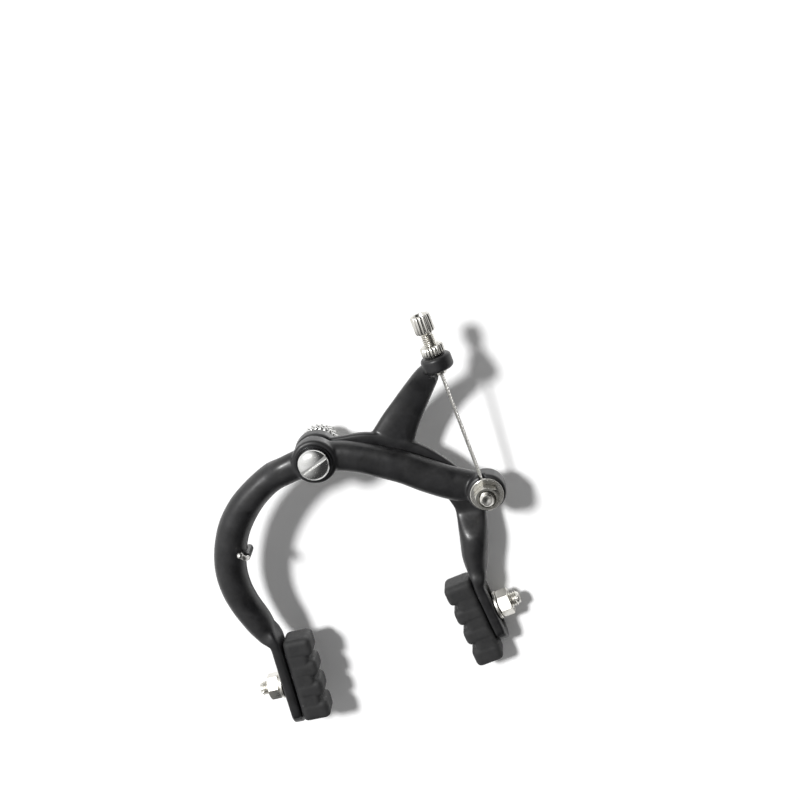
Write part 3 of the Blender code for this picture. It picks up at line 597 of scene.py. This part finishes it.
def limb_end(side):
    """Stations from where a limb draws in to its tongue, down to the tongue's round tip."""
    if side < 0:
        drawn = ((0.0308, 0.0056, 0.0122), (0.0248, 0.0035, 0.0104), (0.0204, 0.0008, 0.0058))
    else:
        drawn = ((0.0308, 0.0036, 0.0108), (0.0248, 0.0020, 0.0090), (0.0204, 0.0009, 0.0062))
    stations = []
    for up, outward, width in drawn:
        x, z = tongue_point(side, -up)
        stations.append((x + side * outward, z, width, LIMB if width > 0.007 else TONGUE))
    root = TONGUE_BELOW[side] - TIP_R
    for down in (-0.0175, (root - 0.0175) / 2, root):
        stations.append((*tongue_point(side, down), TONGUE_T, TONGUE))
    for turn in (25, 50, 70, 84):
        half = TIP_R * math.cos(math.radians(turn))
        stations.append((*tongue_point(side, root + TIP_R * math.sin(math.radians(turn))),
                         TONGUE_T, (-half, 0, half, 7, 7)))
    return stations


def along_stud(side, drop):
    """Frame of a pad's stud: +Z points outwards along it, from the tongue's middle."""
    x, z = tongue_point(side, drop)
    return (Matrix.Translation((x, MID_Y, z)) @ Matrix.Rotation(-side * TONGUE_LEAN, 4, "Y")
            @ Matrix.Rotation(side * math.pi / 2, 4, "Y"))


def ring(outer, rear, front, inner=0.0):
    """Outline of a plain ring, or of a disc, between two faces."""
    return [(inner, rear), (outer, rear), (outer, front), (inner, front)]


def eye(bm, rear, front):
    """Add the round boss that a forging turns on."""
    return turned([(0, rear), (EYE_R - EYE_EASE, rear), (EYE_R, rear - EYE_EASE),
                   (EYE_R, front + EYE_EASE), (EYE_R - EYE_EASE, front), (0, front)],
                  along_y(), bm=bm)


def skinned(name, bm, voxel, passes, eased=()):
    """Weld overlapping solids into one skin and soften it, as tumbling does a forging.

    Each zone of eased is (low, high, rounds): between those heights the skin is
    smoothed further, most of all half way up.
    """
    obj = solid(name, bm)
    weld = obj.modifiers.new("skin", "REMESH")
    weld.mode = "VOXEL"
    weld.voxel_size = voxel
    baked(obj)
    soft = bmesh.new()
    soft.from_mesh(obj.data)

    def ease(verts):
        bmesh.ops.smooth_vert(soft, verts=verts, factor=0.5, use_axis_x=True, use_axis_y=True,
                              use_axis_z=True)

    for _ in range(passes):
        ease(soft.verts[:])
    for low, high, rounds in eased:
        zone = [v for v in soft.verts if low < v.co.z < high]
        for count in range(rounds):
            margin = (high - low) / 2 * count / rounds
            zone = [v for v in zone if low + margin < v.co.z < high - margin]
            ease(zone)
    soft.to_mesh(obj.data)
    soft.free()
    return obj


def bore(bm, radius, low, high, ease, matrix):
    """Add a drill with countersinks to a set of cutting tools."""
    return turned([(0, high + 0.002), (radius + ease + 0.002, high + 0.002), (radius, high - ease),
                   (radius, low + ease), (radius + ease + 0.002, low - 0.002), (0, low - 0.002)],
                  matrix, steps=56, bm=bm)


def slot_cutter(bm, side):
    """Add the cutter for the slot in a tongue, in which a pad is set higher or lower."""
    verts = []
    for down in (SLOT_TOP[side], SLOT_FOOT[side]):
        for height in (-0.0046, 0.0046):
            made = bmesh.ops.create_circle(bm, cap_ends=False, radius=0.0033, segments=40)
            bmesh.ops.transform(bm, matrix=along_stud(side, down)
                                @ Matrix.Translation((0, 0, height)), verts=made["verts"])
            verts += made["verts"]
    bmesh.ops.convex_hull(bm, input=verts)
    return bm


def make_worn_and_lit_edges():
    """Sharp edges in patches: where paint has gone on the arms, and where the rubber's rib edges
    get a painted highlight.
    """
    group, given, out = effect(
        "worn_and_lit_edges", {"Start": 0.56, "Full": 0.62, "Patch Size": 240.0, "Patches": 0.55},
        ("Mask",))
    shape = group.nodes.new("ShaderNodeNewGeometry")
    ridge = ranged(group, shape.outputs["Pointiness"], (given["Start"], given["Full"]))
    patch = noise(group, given["Vector"], given["Patch Size"], 6.0, 0.7)
    past = worked(group, "SUBTRACT", patch, given["Patches"])
    sharp = worked(group, "MULTIPLY", past, 18.0, use_clamp=True)
    feed(group, out, {"Mask": worked(group, "MULTIPLY", ridge, sharp, use_clamp=True)})
    return group


def make_settled_dust():
    """Fine dust: a little more on surfaces that face up, broken into clouds."""
    group, given, out = effect("settled_dust", {"Amount": 0.2, "Cloud Size": 90.0}, ("Mask",))
    shape = group.nodes.new("ShaderNodeNewGeometry")
    facing = add(group, "ShaderNodeSeparateXYZ", {"Vector": shape.outputs["Normal"]})
    upward = ranged(group, facing.outputs["Z"], (-0.3, 1.0), (0.25, 1.0))
    cloud = noise(group, given["Vector"], given["Cloud Size"], 8.0, 0.75)
    dusty = worked(group, "MULTIPLY", upward, ranged(group, cloud, (0.38, 0.72)))
    feed(group, out, {"Mask": worked(group, "MULTIPLY", dusty, given["Amount"],
                                     use_clamp=True)})
    return group


WORN_AND_LIT_EDGES = make_worn_and_lit_edges()
DUST = make_settled_dust()


def make_black_stoving():
    """Satin black paint on aluminium: orange peel, handling smears, dust and edge chips."""
    mat, tree, shader, place = started("black_stoved_paint", {"IOR": 1.48})
    marks = laid(tree, HANDLING, {"Vector": place, "Smear Size": 130.0})
    sharp_edges = laid(tree, WORN_AND_LIT_EDGES, {"Vector": place})
    dust = laid(tree, DUST, {"Vector": place})
    level = add(tree, "ShaderNodeSeparateXYZ", {"Vector": place})
    handled = ranged(tree, level.outputs["Z"], (-0.062, -0.072))
    chips = worked(tree, "MULTIPLY", sharp_edges["Mask"], handled)
    paint = mixed(tree, marks["Smears"], (0.0040, 0.0040, 0.0046), (0.0105, 0.0105, 0.0118))
    dusted = mixed(tree, dust["Mask"], paint, (0.16, 0.155, 0.15))
    sheen = ranged(tree, marks["Smears"], onto=(0.28, 0.46))
    peel = worked(tree, "MULTIPLY", noise(tree, place, 950.0, 2.0, 0.45), 0.000009)
    swell = worked(tree, "MULTIPLY", noise(tree, place, 160.0, 2.0), 0.000090)
    relief = worked(tree, "ADD", peel, swell)
    chip = worked(tree, "MULTIPLY", chips, -0.00003)
    feed(tree, shader, {
        "Base Color": mixed(tree, chips, dusted, (0.62, 0.61, 0.58)), "Metallic": chips,
        "Roughness": worked(tree, "ADD", marks["Flecks"], sheen),
        "Normal": bumped(tree, worked(tree, "ADD", relief, chip), 1.0)})
    return mat


BLACK_PAINT = make_black_stoving()

rear_route = [(x, z, BAND_W + more, REAR_BAND) for x, z, more in (
    (-0.0020, 0, 0), (0.0110, -0.0019, 0), (0.0216, -0.0040, 0.0002), (0.0325, -0.0100, 0.0004),
    (0.0398, -0.0165, 0.0004), (0.0455, -0.0235, 0.0002), (0.0495, -0.0300, 0),
    (0.0518, -0.0365, -0.0002), (0.0524, -0.0425, -0.0002))]
rear_route.append((0.0501, -0.0540, BAND_W - 0.0006, LIMB))
middle = (NEST_IN + NEST_OUT) / 2
shift = WIRE_Y - MID_Y
branch_route = [(x, z, width, (y - 0.0030, y, y + 0.0030, 2.6, 2.6)) for x, z, width, y in (
    (0.0300, -0.0060, 0.0190, middle), (0.0362, 0.0010, 0.0158, middle),
    (0.0424, 0.0072, 0.0134, middle - 0.0010), (0.0486, 0.0134, 0.0116, 0),
    (0.0540, 0.0190, 0.0098, shift * 0.62),
    (HANGER.x - 0.0024, HANGER.z - 0.0018, 0.0072, shift))]
rear = forged(bmesh.new(), rear_route + limb_end(1))
forged(rear, branch_route)
eye(rear, *Y_EYE)
turned([(0, 0.0030), (0.0054, 0.0030), (0.0062, 0.0022), (0.0062, -0.0022), (0.0054, -0.0030),
        (0, -0.0030)], HANGER_FRAME, bm=rear)
turned(ring(PIN_R, MID_Y + NEST_OUT - 0.0016, MID_Y + NEST_IN + 0.0016),
       along_y(0.0372, -0.0222), bm=rear)
rear_arm = skinned("rear_arm_dressed", rear, FINE, SOFTEN,
                   eased=((-0.062, -0.040, 60), (-0.080, -0.060, 24)))
tools = bore(bmesh.new(), BORE_R, Y_EYE[1], Y_EYE[0], 0.0003, along_y())
bore(tools, 0.0029, -0.0030, 0.0030, 0.0003, HANGER_FRAME)
slot_cutter(tools, 1)
shaped(rear_arm, "DIFFERENCE", tools)
shaped(rear_arm, "DIFFERENCE", turned(ring(0.0031, -0.0115, -0.0034), HANGER_FRAME, steps=48))
fitted(rear_arm, "right_side", BLACK_PAINT, "rear_arm")


# The front arm is a C-shaped forging of the same finish: the left limb and its
# tongue, an eye on the bolt, and a limb that nests over the rear arm and ends
# in the boss for the cable anchor.
C_EYE = (-0.0171, -0.0241)
BOSS_FRONT = -0.0255
FRONT_BAND = (-NEST_OUT, -NEST_IN - 0.0014, -NEST_IN, 2.5, 5)
LIMB_W = 0.0134
SEAT_R = 0.0080
LUG_R = 0.0018
LUG = (-0.0424, -0.0313)
HEAD_ROOM = 0.0055
HEAD_FLOOR = C_EYE[0] - 0.0028
WIRE_GROOVE = (0.0021, 0.0044, 0.0320)

front_route = list(reversed(limb_end(-1)))
front_route += [(x, z, LIMB_W + more, LIMB) for x, z, more in (
    (-0.0520, -0.0535, -0.0008), (-0.0529, -0.0455, -0.0004), (-0.0521, -0.0370, 0),
    (-0.0492, -0.0285, 0.0002), (-0.0440, -0.0195, 0.0002), (-0.0370, -0.0122, -0.0002),
    (-0.0295, -0.0070, -0.0012))]
front_route.append((-0.0215, -0.0032, BAND_W - 0.0008, LIMB))
front_route += [(x, z, BAND_W + more, FRONT_BAND) for x, z, more in (
    (-0.0130, -0.0010, -0.0008), (0, 0, 0), (0.0090, -0.0018, 0), (0.0170, -0.0052, 0),
    (0.0249, -0.0099, 0.0006), (0.0333, -0.0154, 0.0010), (0.0417, -0.0222, 0.0014),
    (0.0508, -0.0286, 0.0014), (ANCHOR.x, ANCHOR.z, -0.0016))]
front = forged(bmesh.new(), front_route)
eye(front, *C_EYE)
turned([(0, C_EYE[0]), (SEAT_R, C_EYE[0]), (SEAT_R, BOSS_FRONT + EYE_EASE),
        (SEAT_R - EYE_EASE, BOSS_FRONT), (0, BOSS_FRONT)], ANCHOR_FRAME, bm=front)
turned(ring(LUG_R, MID_Y + 0.0050, MID_Y - 0.0050), along_y(*LUG), bm=front)
front_arm = skinned("front_arm_dressed", front, FINE, SOFTEN, eased=((-0.080, -0.056, 30),))
tools = bore(bmesh.new(), BORE_R, C_EYE[1], C_EYE[0], 0.0003, along_y())
turned([(0, C_EYE[0] + 0.0003), (HEAD_ROOM, C_EYE[0] + 0.0003), (HEAD_ROOM, HEAD_FLOOR),
        (BORE_R, HEAD_FLOOR), (BORE_R, BOSS_FRONT - 0.0003), (0, BOSS_FRONT - 0.0003)],
       ANCHOR_FRAME, steps=56, bm=tools)
slot_cutter(tools, -1)
shaped(front_arm, "DIFFERENCE", tools)
for swing in (0, 3.6, 7.2):
    shaped(front_arm, "DIFFERENCE",
           box(WIRE_GROOVE, Matrix.Translation((ANCHOR.x, BOSS_FRONT, ANCHOR.z))
               @ Matrix.Rotation(math.radians(swing), 4, "Y") @ WIRE_TURN))
fitted(front_arm, "left_side", BLACK_PAINT, "front_arm")


# Thin flat washers keep the eyes from rubbing. The front one is blackened and
# shows as a dark ring round the bolt's head; the inner two are plain zinc.
def washer(name, outer, rear, front, matrix):
    """Turn a plain flat washer for an M6 bolt."""
    return solid(name, turned(ring(outer, rear, front, BORE_R), matrix))


for word, rear_face, front_face, bright, dull, smooth, rough in (
        ("front_washer", -0.0244, -0.0252, (0.050, 0.050, 0.052), (0.026, 0.026, 0.028),
         0.22, 0.38),
        ("middle_washer", -0.0160, -0.0168, ZINC_BRIGHT, ZINC_DULL, 0.24, 0.40),
        ("rear_washer", -0.0076, -0.0084, ZINC_BRIGHT, ZINC_DULL, 0.24, 0.40)):
    finish = "blackened_washer" if word == "front_washer" else "zinc_" + word
    fitted(washer(word + "_dressed", 0.0075, rear_face, front_face, along_y()), "pivot",
           plated(finish, along_y(), bright, dull, smooth, rough), word, edge=0.00015)


# The cable anchor clamps the inner wire to the front arm: a cross-drilled bolt
# from behind, a thick washer and a nut, all nickel plated over turned steel.
NICKEL_BRIGHT = (0.80, 0.79, 0.75)
NICKEL_DULL = (0.62, 0.60, 0.55)
anchor_plate = plated("nickel_anchor", ANCHOR_FRAME, NICKEL_BRIGHT, NICKEL_DULL, 0.12, 0.28)
washer_rear = BOSS_FRONT - 0.0003
nut_rear = washer_rear - 0.0015
nut_front = nut_rear - 0.0045
bolt_end = nut_front - 0.0012
anchor_outline = [(0, -0.0174), (0.0052, -0.0174), (0.0052, -0.0196), (BOLT_R, -0.0196),
                  (BOLT_R, -0.0232), (BOLT_R - 0.0005, -0.0236),
                  (BOLT_R - 0.0005, bolt_end + 0.0004), (BOLT_R - 0.0009, bolt_end),
                  (0.0006, bolt_end), (0, bolt_end + 0.0003)]
anchor_bolt = solid("anchor_bolt_dressed", turned(anchor_outline, ANCHOR_FRAME))
shaped(anchor_bolt, "DIFFERENCE", drill(bmesh.new(), 0.00105, 0.0120, WIRE_FRAME, segments=28))
threaded(anchor_bolt, BOLT_R, 0.0009, bolt_end + 0.0007, nut_rear + 0.0006, ANCHOR_FRAME)
fitted(anchor_bolt, "left_side", anchor_plate, "anchor_bolt", edge=0.00012)
anchor_washer = washer("anchor_washer_dressed", 0.0068, washer_rear, washer_rear - 0.0012,
                       ANCHOR_FRAME)
fitted(anchor_washer, "left_side", anchor_plate, "anchor_washer", edge=0.00028, segments=3)
anchor_nut = hex_nut("anchor_nut_dressed", 0.0090, nut_front, nut_rear, BORE_R, ANCHOR_FRAME)
fitted(anchor_nut, "left_side",
       plated("nickel_anchor_nut", ANCHOR_FRAME, (0.62, 0.61, 0.57), (0.40, 0.39, 0.35),
              0.10, 0.22),
       "anchor_nut", edge=0.00022)


# The barrel adjuster screws down through the hanger's ring and takes the outer
# cable in its cup; its lock nut is knurled. Both are turned and nickel plated.
STEM_R = 0.0026
STEM_BORE = 0.00115
GRIP_R = 0.0040
LOCK_R = 0.0047
NUT_LOW = 0.0033
NUT_HIGH = 0.0075
BARREL_LOW = 0.0129
BARREL_HIGH = 0.0203
CUP_FLOOR = BARREL_HIGH - 0.0048


def knurled(outline, flutes, depth, radius, matrix):
    """Turn a grip and roll lengthwise flutes into its widest part."""
    bm = turned(outline, Matrix.Identity(4), steps=flutes * 10)
    for vert in bm.verts:
        out = vert.co.xy.length
        if out > radius - 0.0004:
            wave = 0.5 - 0.5 * math.cos(flutes * math.atan2(vert.co.y, vert.co.x))
            vert.co.xy *= 1 - depth * wave ** 1.4 / out
    bmesh.ops.transform(bm, matrix=matrix, verts=bm.verts[:])
    return bm


adjuster_plate = plated("nickel_adjuster", HANGER_FRAME, NICKEL_BRIGHT, NICKEL_DULL, 0.14, 0.30)
barrel_outline = [(STEM_BORE, -0.0048), (STEM_R - 0.0005, -0.0048), (STEM_R - 0.0004, -0.0044),
                  (STEM_R - 0.0004, BARREL_LOW - 0.0008), (0.0030, BARREL_LOW - 0.0002),
                  (0.0035, BARREL_LOW), (GRIP_R, BARREL_LOW + 0.0006),
                  (GRIP_R, BARREL_HIGH - 0.0006), (0.0035, BARREL_HIGH), (0.0029, BARREL_HIGH),
                  (0.0027, BARREL_HIGH - 0.0003), (0.0027, CUP_FLOOR), (STEM_BORE, CUP_FLOOR)]
barrel_bm = knurled(barrel_outline, 16, 0.0005, GRIP_R, HANGER_FRAME)
wind_thread(barrel_bm, STEM_R, 0.0008, -0.0041, BARREL_LOW - 0.0012, HANGER_FRAME)
barrel = solid("barrel_adjuster_dressed", barrel_bm)
fitted(barrel, "barrel", adjuster_plate, "barrel_adjuster")
lock_outline = [(STEM_R + 0.0003, NUT_LOW), (0.0039, NUT_LOW), (LOCK_R, NUT_LOW + 0.0006),
                (LOCK_R, NUT_HIGH - 0.0006), (0.0039, NUT_HIGH), (STEM_R + 0.0003, NUT_HIGH)]
lock_nut = solid("adjuster_lock_nut_dressed",
                 knurled(lock_outline, 20, 0.0005, LOCK_R, HANGER_FRAME))
fitted(lock_nut, "lock_nut", adjuster_plate, "adjuster_lock_nut")
nipple_low = CUP_FLOOR + 0.0003
nipple = solid("wire_head_dressed", turned(ring(0.0023, nipple_low + 0.0030, nipple_low),
                                           HANGER_FRAME, steps=48))
fitted(nipple, "cable_stop",
       plated("cast_wire_head", HANGER_FRAME, (0.60, 0.59, 0.57), (0.44, 0.43, 0.41), 0.34, 0.50),
       "wire_head", edge=0.0003, segments=3)


# The inner wire is seven strands of bright steel laid up with a right-hand twist.
# It hangs from its head in the adjuster and is pinched at the anchor. The length
# inside the barrel stays in line with it, and the rest swings with the anchor.
STRAND_R = 0.00025
LAY = 0.0085
WIRE_TAIL = 0.0060


def stranded(name, low, high):
    """Lay six strands round a seventh, from a low to a high point along the wire's line."""
    rope = bmesh.new()
    turns = (high - low) / LAY
    steps = round(turns * 20)
    for number in range(7):
        made = bmesh.ops.create_circle(rope, cap_ends=True, radius=STRAND_R, segments=10)
        section = made["verts"]
        faces = faces_of(section)
        edges = edges_of(section)
        if number:
            lay_at = math.tau * number / 6
            bmesh.ops.translate(rope, vec=(2 * STRAND_R * math.cos(lay_at),
                                           2 * STRAND_R * math.sin(lay_at), 0), verts=section)
        bmesh.ops.translate(rope, vec=(0, 0, low), verts=section)
        bmesh.ops.spin(rope, geom=section + edges + faces, cent=(0, 0, 0), axis=(0, 0, 1),
                       dvec=(0, 0, (high - low) / steps), angle=math.tau * turns, steps=steps,
                       use_merge=False)
    bmesh.ops.recalc_face_normals(rope, faces=rope.faces[:])
    bmesh.ops.transform(rope, matrix=WIRE_FRAME, verts=rope.verts[:])
    return solid(name, rope)


bright_strand = plated("bright_strand", WIRE_FRAME, (0.78, 0.77, 0.74), (0.58, 0.57, 0.54),
                       0.22, 0.38, relief=0.0000006)
to_ring = (HANGER - ANCHOR).length
inner_wire = stranded("inner_wire_dressed", -WIRE_TAIL, to_ring - 0.0018)
fitted(inner_wire, "wire", bright_strand, "inner_wire")
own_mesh(inner_wire)
wire_end = stranded("wire_end_dressed", to_ring + 0.0024, to_ring + CUP_FLOOR)
fitted(wire_end, "cable_stop", bright_strand, "wire_head")


# Each brake pad is a rubber block moulded round a steel plate with a threaded
# stud, with a skin of rubber over the plate's back. The stud goes through the
# tongue's slot and is held by a washer and nut.
BLOCK_L = 0.0385
BLOCK_D = 0.0130
BLOCK_T = 0.0122
BLOCK_SHIFT = 0.0021
GROOVE_W = 0.0018
GROOVE_DEEP = 0.0026
PLATE_T = 0.0020
SKIN = 0.0006
BACK = -TONGUE_T / 2 - 0.0003
BLOCK_RIBS = 4
PAD_TWIST = math.radians(3)
NUT_TURN = math.radians(9)


def make_rubber():
    """Moulded brake rubber: matt charcoal with handling smears and dust; its sharp rib edges are
    lightened as a painted highlight.
    """
    mat, tree, shader, place = started("moulded_rubber", {"IOR": 1.50})
    marks = laid(tree, HANDLING, {"Vector": place, "Smear Size": 260.0})
    sharp_edges = laid(tree, WORN_AND_LIT_EDGES, {"Vector": place, "Start": 0.50, "Full": 0.60, "Patches": 0.36})
    dust = laid(tree, DUST, {"Vector": place, "Amount": 0.20, "Cloud Size": 260.0})
    body = mixed(tree, marks["Smears"], (0.007, 0.007, 0.0075), (0.018, 0.018, 0.019))
    # Painted highlight: the sharp rib edges are mixed towards a light grey, as if lit, not rubbed
    # to chalk.
    edge_highlight = worked(tree, "MULTIPLY", sharp_edges["Mask"], 0.6)
    highlit_rubber = mixed(tree, edge_highlight, body, (0.085, 0.085, 0.085))
    grain = noise(tree, place, 2600.0, 4.0, 0.65)
    feed(tree, shader, {"Base Color": mixed(tree, dust["Mask"], highlit_rubber, (0.13, 0.13, 0.125)),
                        "Roughness": ranged(tree, marks["Smears"], onto=(0.62, 0.82)),
                        "Normal": bumped(tree, grain, 0.000035)})
    return mat


def rounded_box(bm, size, centre, edge, segments=4):
    """Add a box with its edges and corners rounded."""
    made = bmesh.ops.create_cube(bm, size=1)["verts"]
    bmesh.ops.scale(bm, vec=size, verts=made)
    bmesh.ops.translate(bm, vec=centre, verts=made)
    bmesh.ops.bevel(bm, geom=edges_of(made), offset=edge, segments=segments, profile=0.5,
                    affect="EDGES", material=-1)
    return bm


RUBBER = make_rubber()
for side, word, drop in ((-1, "left", 0.0029), (1, "right", -0.0045)):
    stud_frame = along_stud(side, drop)
    swivel = stud_frame @ Matrix.Rotation(-side * PAD_TWIST, 4, "Z")
    pad_plate = plated("nickel_" + word + "_pad", stud_frame, NICKEL_BRIGHT, NICKEL_DULL,
                       0.24, 0.42)
    washer_low = TONGUE_T / 2 + 0.0003
    nut_low = washer_low + 0.0015
    nut_high = nut_low + 0.0050
    stud_end = nut_high + 0.0040
    plate_mid = BACK - SKIN - PLATE_T / 2

    block_bm = bmesh.new()
    pitch = BLOCK_L / BLOCK_RIBS
    for number in range(BLOCK_RIBS):
        low = -BLOCK_L / 2 + number * pitch + (GROOVE_W / 2 if number else 0)
        high = (-BLOCK_L / 2 + (number + 1) * pitch
                - (GROOVE_W / 2 if number < BLOCK_RIBS - 1 else 0))
        rounded_box(block_bm, (high - low, BLOCK_D, BLOCK_T),
                    (BLOCK_SHIFT + (low + high) / 2, 0, BACK - BLOCK_T / 2), 0.0023)
    core = BLOCK_T - GROOVE_DEEP
    rounded_box(block_bm, (BLOCK_L - 0.004, BLOCK_D - 0.0003, core),
                (BLOCK_SHIFT, 0, BACK - core / 2), 0.0020)
    bmesh.ops.transform(block_bm, matrix=swivel, verts=block_bm.verts[:])
    block = skinned(word + "_brake_block_dressed", block_bm, 0.00030, 5)
    shaped(block, "DIFFERENCE", box((BLOCK_L - 0.0050, BLOCK_D - 0.0038, PLATE_T + 0.0004),
                                    swivel @ Matrix.Translation((BLOCK_SHIFT, 0, plate_mid))))
    shaped(block, "DIFFERENCE", turned(ring(BOLT_R + 0.0002, BACK + 0.001, plate_mid), swivel,
                                       steps=48))
    fitted(block, word + "_pad", RUBBER, word + "_brake_block")

    stud_bm = rounded_box(bmesh.new(), (BLOCK_L - 0.0056, BLOCK_D - 0.0044, PLATE_T),
                          (BLOCK_SHIFT, 0, plate_mid), 0.0003, segments=2)
    turned([(0, plate_mid), (BOLT_R, plate_mid), (BOLT_R, nut_low - 0.0008),
            (BOLT_R - 0.0006, nut_low - 0.0002), (BOLT_R - 0.0006, stud_end - 0.0005),
            (BOLT_R - 0.0010, stud_end), (0, stud_end)], Matrix.Identity(4), steps=48, bm=stud_bm)
    wind_thread(stud_bm, BOLT_R, 0.0010, nut_low + 0.0004, stud_end - 0.0009,
                Matrix.Identity(4))
    bmesh.ops.transform(stud_bm, matrix=swivel, verts=stud_bm.verts[:])
    stud = solid(word + "_pad_stud_dressed", stud_bm)
    fitted(stud, word + "_pad", pad_plate, word + "_pad_stud", edge=0.0001)

    pad_washer = washer(word + "_pad_washer_dressed", 0.0060, washer_low + 0.0012, washer_low,
                        stud_frame)
    fitted(pad_washer, word + "_clamp", pad_plate, word + "_pad_washer", edge=0.00025,
           segments=3)
    nut = hex_nut(word + "_pad_nut_dressed", 0.0100, nut_low, nut_high, BORE_R,
                  stud_frame @ Matrix.Rotation(NUT_TURN, 4, "Z"))
    fitted(nut, word + "_clamp", pad_plate, word + "_pad_nut", edge=0.00014)


# The brake lies on a pale table: it rests on the end of its bolt and on the foot
# of its right pad. The paper-white top keeps the shadows and seems endless; from
# behind it isn't seen, so that the brake's back can be looked at.
floor_normal = Vector((-0.1128, -1.0, 0.1597)).normalized()
floor_bm = bmesh.new()
bmesh.ops.create_grid(floor_bm, x_segments=2, y_segments=2, size=1.6)
bmesh.ops.transform(floor_bm, matrix=Matrix.Translation((0.0, 0.0134, 0.0))
                    @ Vector((0, 0, 1)).rotation_difference(floor_normal).to_matrix().to_4x4(),
                    verts=floor_bm.verts[:])
floor = solid("table_top", floor_bm)
floor_mat, tree, shader, place = started("pale_table", {"Roughness": 0.9,
                                                        "Specular IOR Level": 0.1})
pale = mixed(tree, noise(tree, place, 14.0, 3.0), (0.90, 0.90, 0.90), (0.93, 0.93, 0.93))
path = tree.nodes.new("ShaderNodeLightPath").outputs
direct = worked(tree, "MAXIMUM", path["Is Camera Ray"], path["Is Glossy Ray"])
feed(tree, shader, {"Base Color": mixed(tree, direct, pale, (1.04, 1.04, 1.04))})
shape = tree.nodes.new("ShaderNodeNewGeometry")
seen = worked(tree, "MULTIPLY", path["Is Camera Ray"], shape.outputs["Backfacing"])
through = worked(tree, "MAXIMUM", seen, path["Is Shadow Ray"])
clear = tree.nodes.new("ShaderNodeBsdfTransparent")
choice = add(tree, "ShaderNodeMixShader", {0: through, 1: shader.outputs["BSDF"],
                                           2: clear.outputs["BSDF"]})
feed(tree, tree.nodes["Material Output"], {"Surface": choice.outputs["Shader"]})
floor.data.materials.append(floor_mat)


# Plain studio light: one soft lamp high on the left, in a pale room that gives
# reflections a bright left wall and is dark to them elsewhere. A weak lamp
# behind the table only reaches the brake's back.
def lamp(name, towards, distance, size, power):
    """Hang a round soft lamp and aim it at the brake."""
    data = bpy.data.lights.new(name, "AREA")
    data.shape = "DISK"
    data.size = size
    data.energy = power
    obj = bpy.data.objects.new(name, data)
    bpy.context.scene.collection.objects.link(obj)
    away = Vector(towards).normalized()
    obj.location = Vector((0, MID_Y, -0.03)) + away * distance
    obj.rotation_mode = "QUATERNION"
    obj.rotation_quaternion = away.to_track_quat("Z", "Y")


lamp("key_lamp", (-0.345, -0.800, 0.490), 3.00, 0.48, 84.0)
lamp("back_lamp", (0.25, 0.90, 0.35), 1.50, 0.90, 12.0)

world = bpy.data.worlds.new("pale_room")
world.use_nodes = True
tree = world.node_tree
room = feed(tree, tree.nodes["Background"], {"Color": (1.0, 1.0, 1.0, 1)})
path = tree.nodes.new("ShaderNodeLightPath").outputs
bearing = tree.nodes.new("ShaderNodeTexCoord")
wall = add(tree, "ShaderNodeVectorMath", {0: bearing.outputs["Generated"],
                                          1: Vector((-0.80, -0.42, 0.43)).normalized()},
           operation="DOT_PRODUCT")
wall_light = ranged(tree, wall.outputs["Value"], (0.05, 0.95), (0.05, 1.10),
                    interpolation_type="SMOOTHSTEP")
seen = worked(tree, "MAXIMUM", path["Is Camera Ray"], path["Is Transmission Ray"])
plain = worked(tree, "ADD", worked(tree, "MULTIPLY", seen, 0.75), 0.25)
strength = add(tree, "ShaderNodeMix", {"Factor": path["Is Glossy Ray"], 2: plain,
                                       3: wall_light}, data_type="FLOAT")
feed(tree, room, {"Strength": strength.outputs[0]})
bpy.context.scene.world = world
bpy.context.scene.view_settings.view_transform = "Standard"


# The camera looks down on the brake from the front, a little from its right,
# and is rolled so that the brake leans to the left as it lies in the picture.
FOCAL_PX = 1250
MIDDLE_PX = 400
HEAD_PX = (313, 467)
azimuth, elevation, roll = (math.radians(angle) for angle in (8, 16, 20))
back = Vector((math.sin(azimuth) * math.cos(elevation), -math.cos(azimuth) * math.cos(elevation),
               math.sin(elevation)))
plain_up = (Vector((0, 0, 1)) - back.z * back).normalized()
plain_right = plain_up.cross(back)
right = math.cos(roll) * plain_right - math.sin(roll) * plain_up
up = math.sin(roll) * plain_right + math.cos(roll) * plain_up
camera_data = bpy.data.cameras.new("camera")
camera_data.lens = 56.25
camera_data.sensor_width = 36.0
camera_data.clip_start = 0.01
camera = bpy.data.objects.new("camera", camera_data)
bpy.context.scene.collection.objects.link(camera)
aim = Vector((0, MID_Y - 0.0125, 0))
distance = 0.5
spot = aim - distance * (-back + (HEAD_PX[0] - MIDDLE_PX) / FOCAL_PX * right
                         - (HEAD_PX[1] - MIDDLE_PX) / FOCAL_PX * up)
camera.matrix_world = (Matrix.Translation(spot)
                       @ Matrix((right, up, back)).transposed().to_4x4())
bpy.context.scene.camera = camera
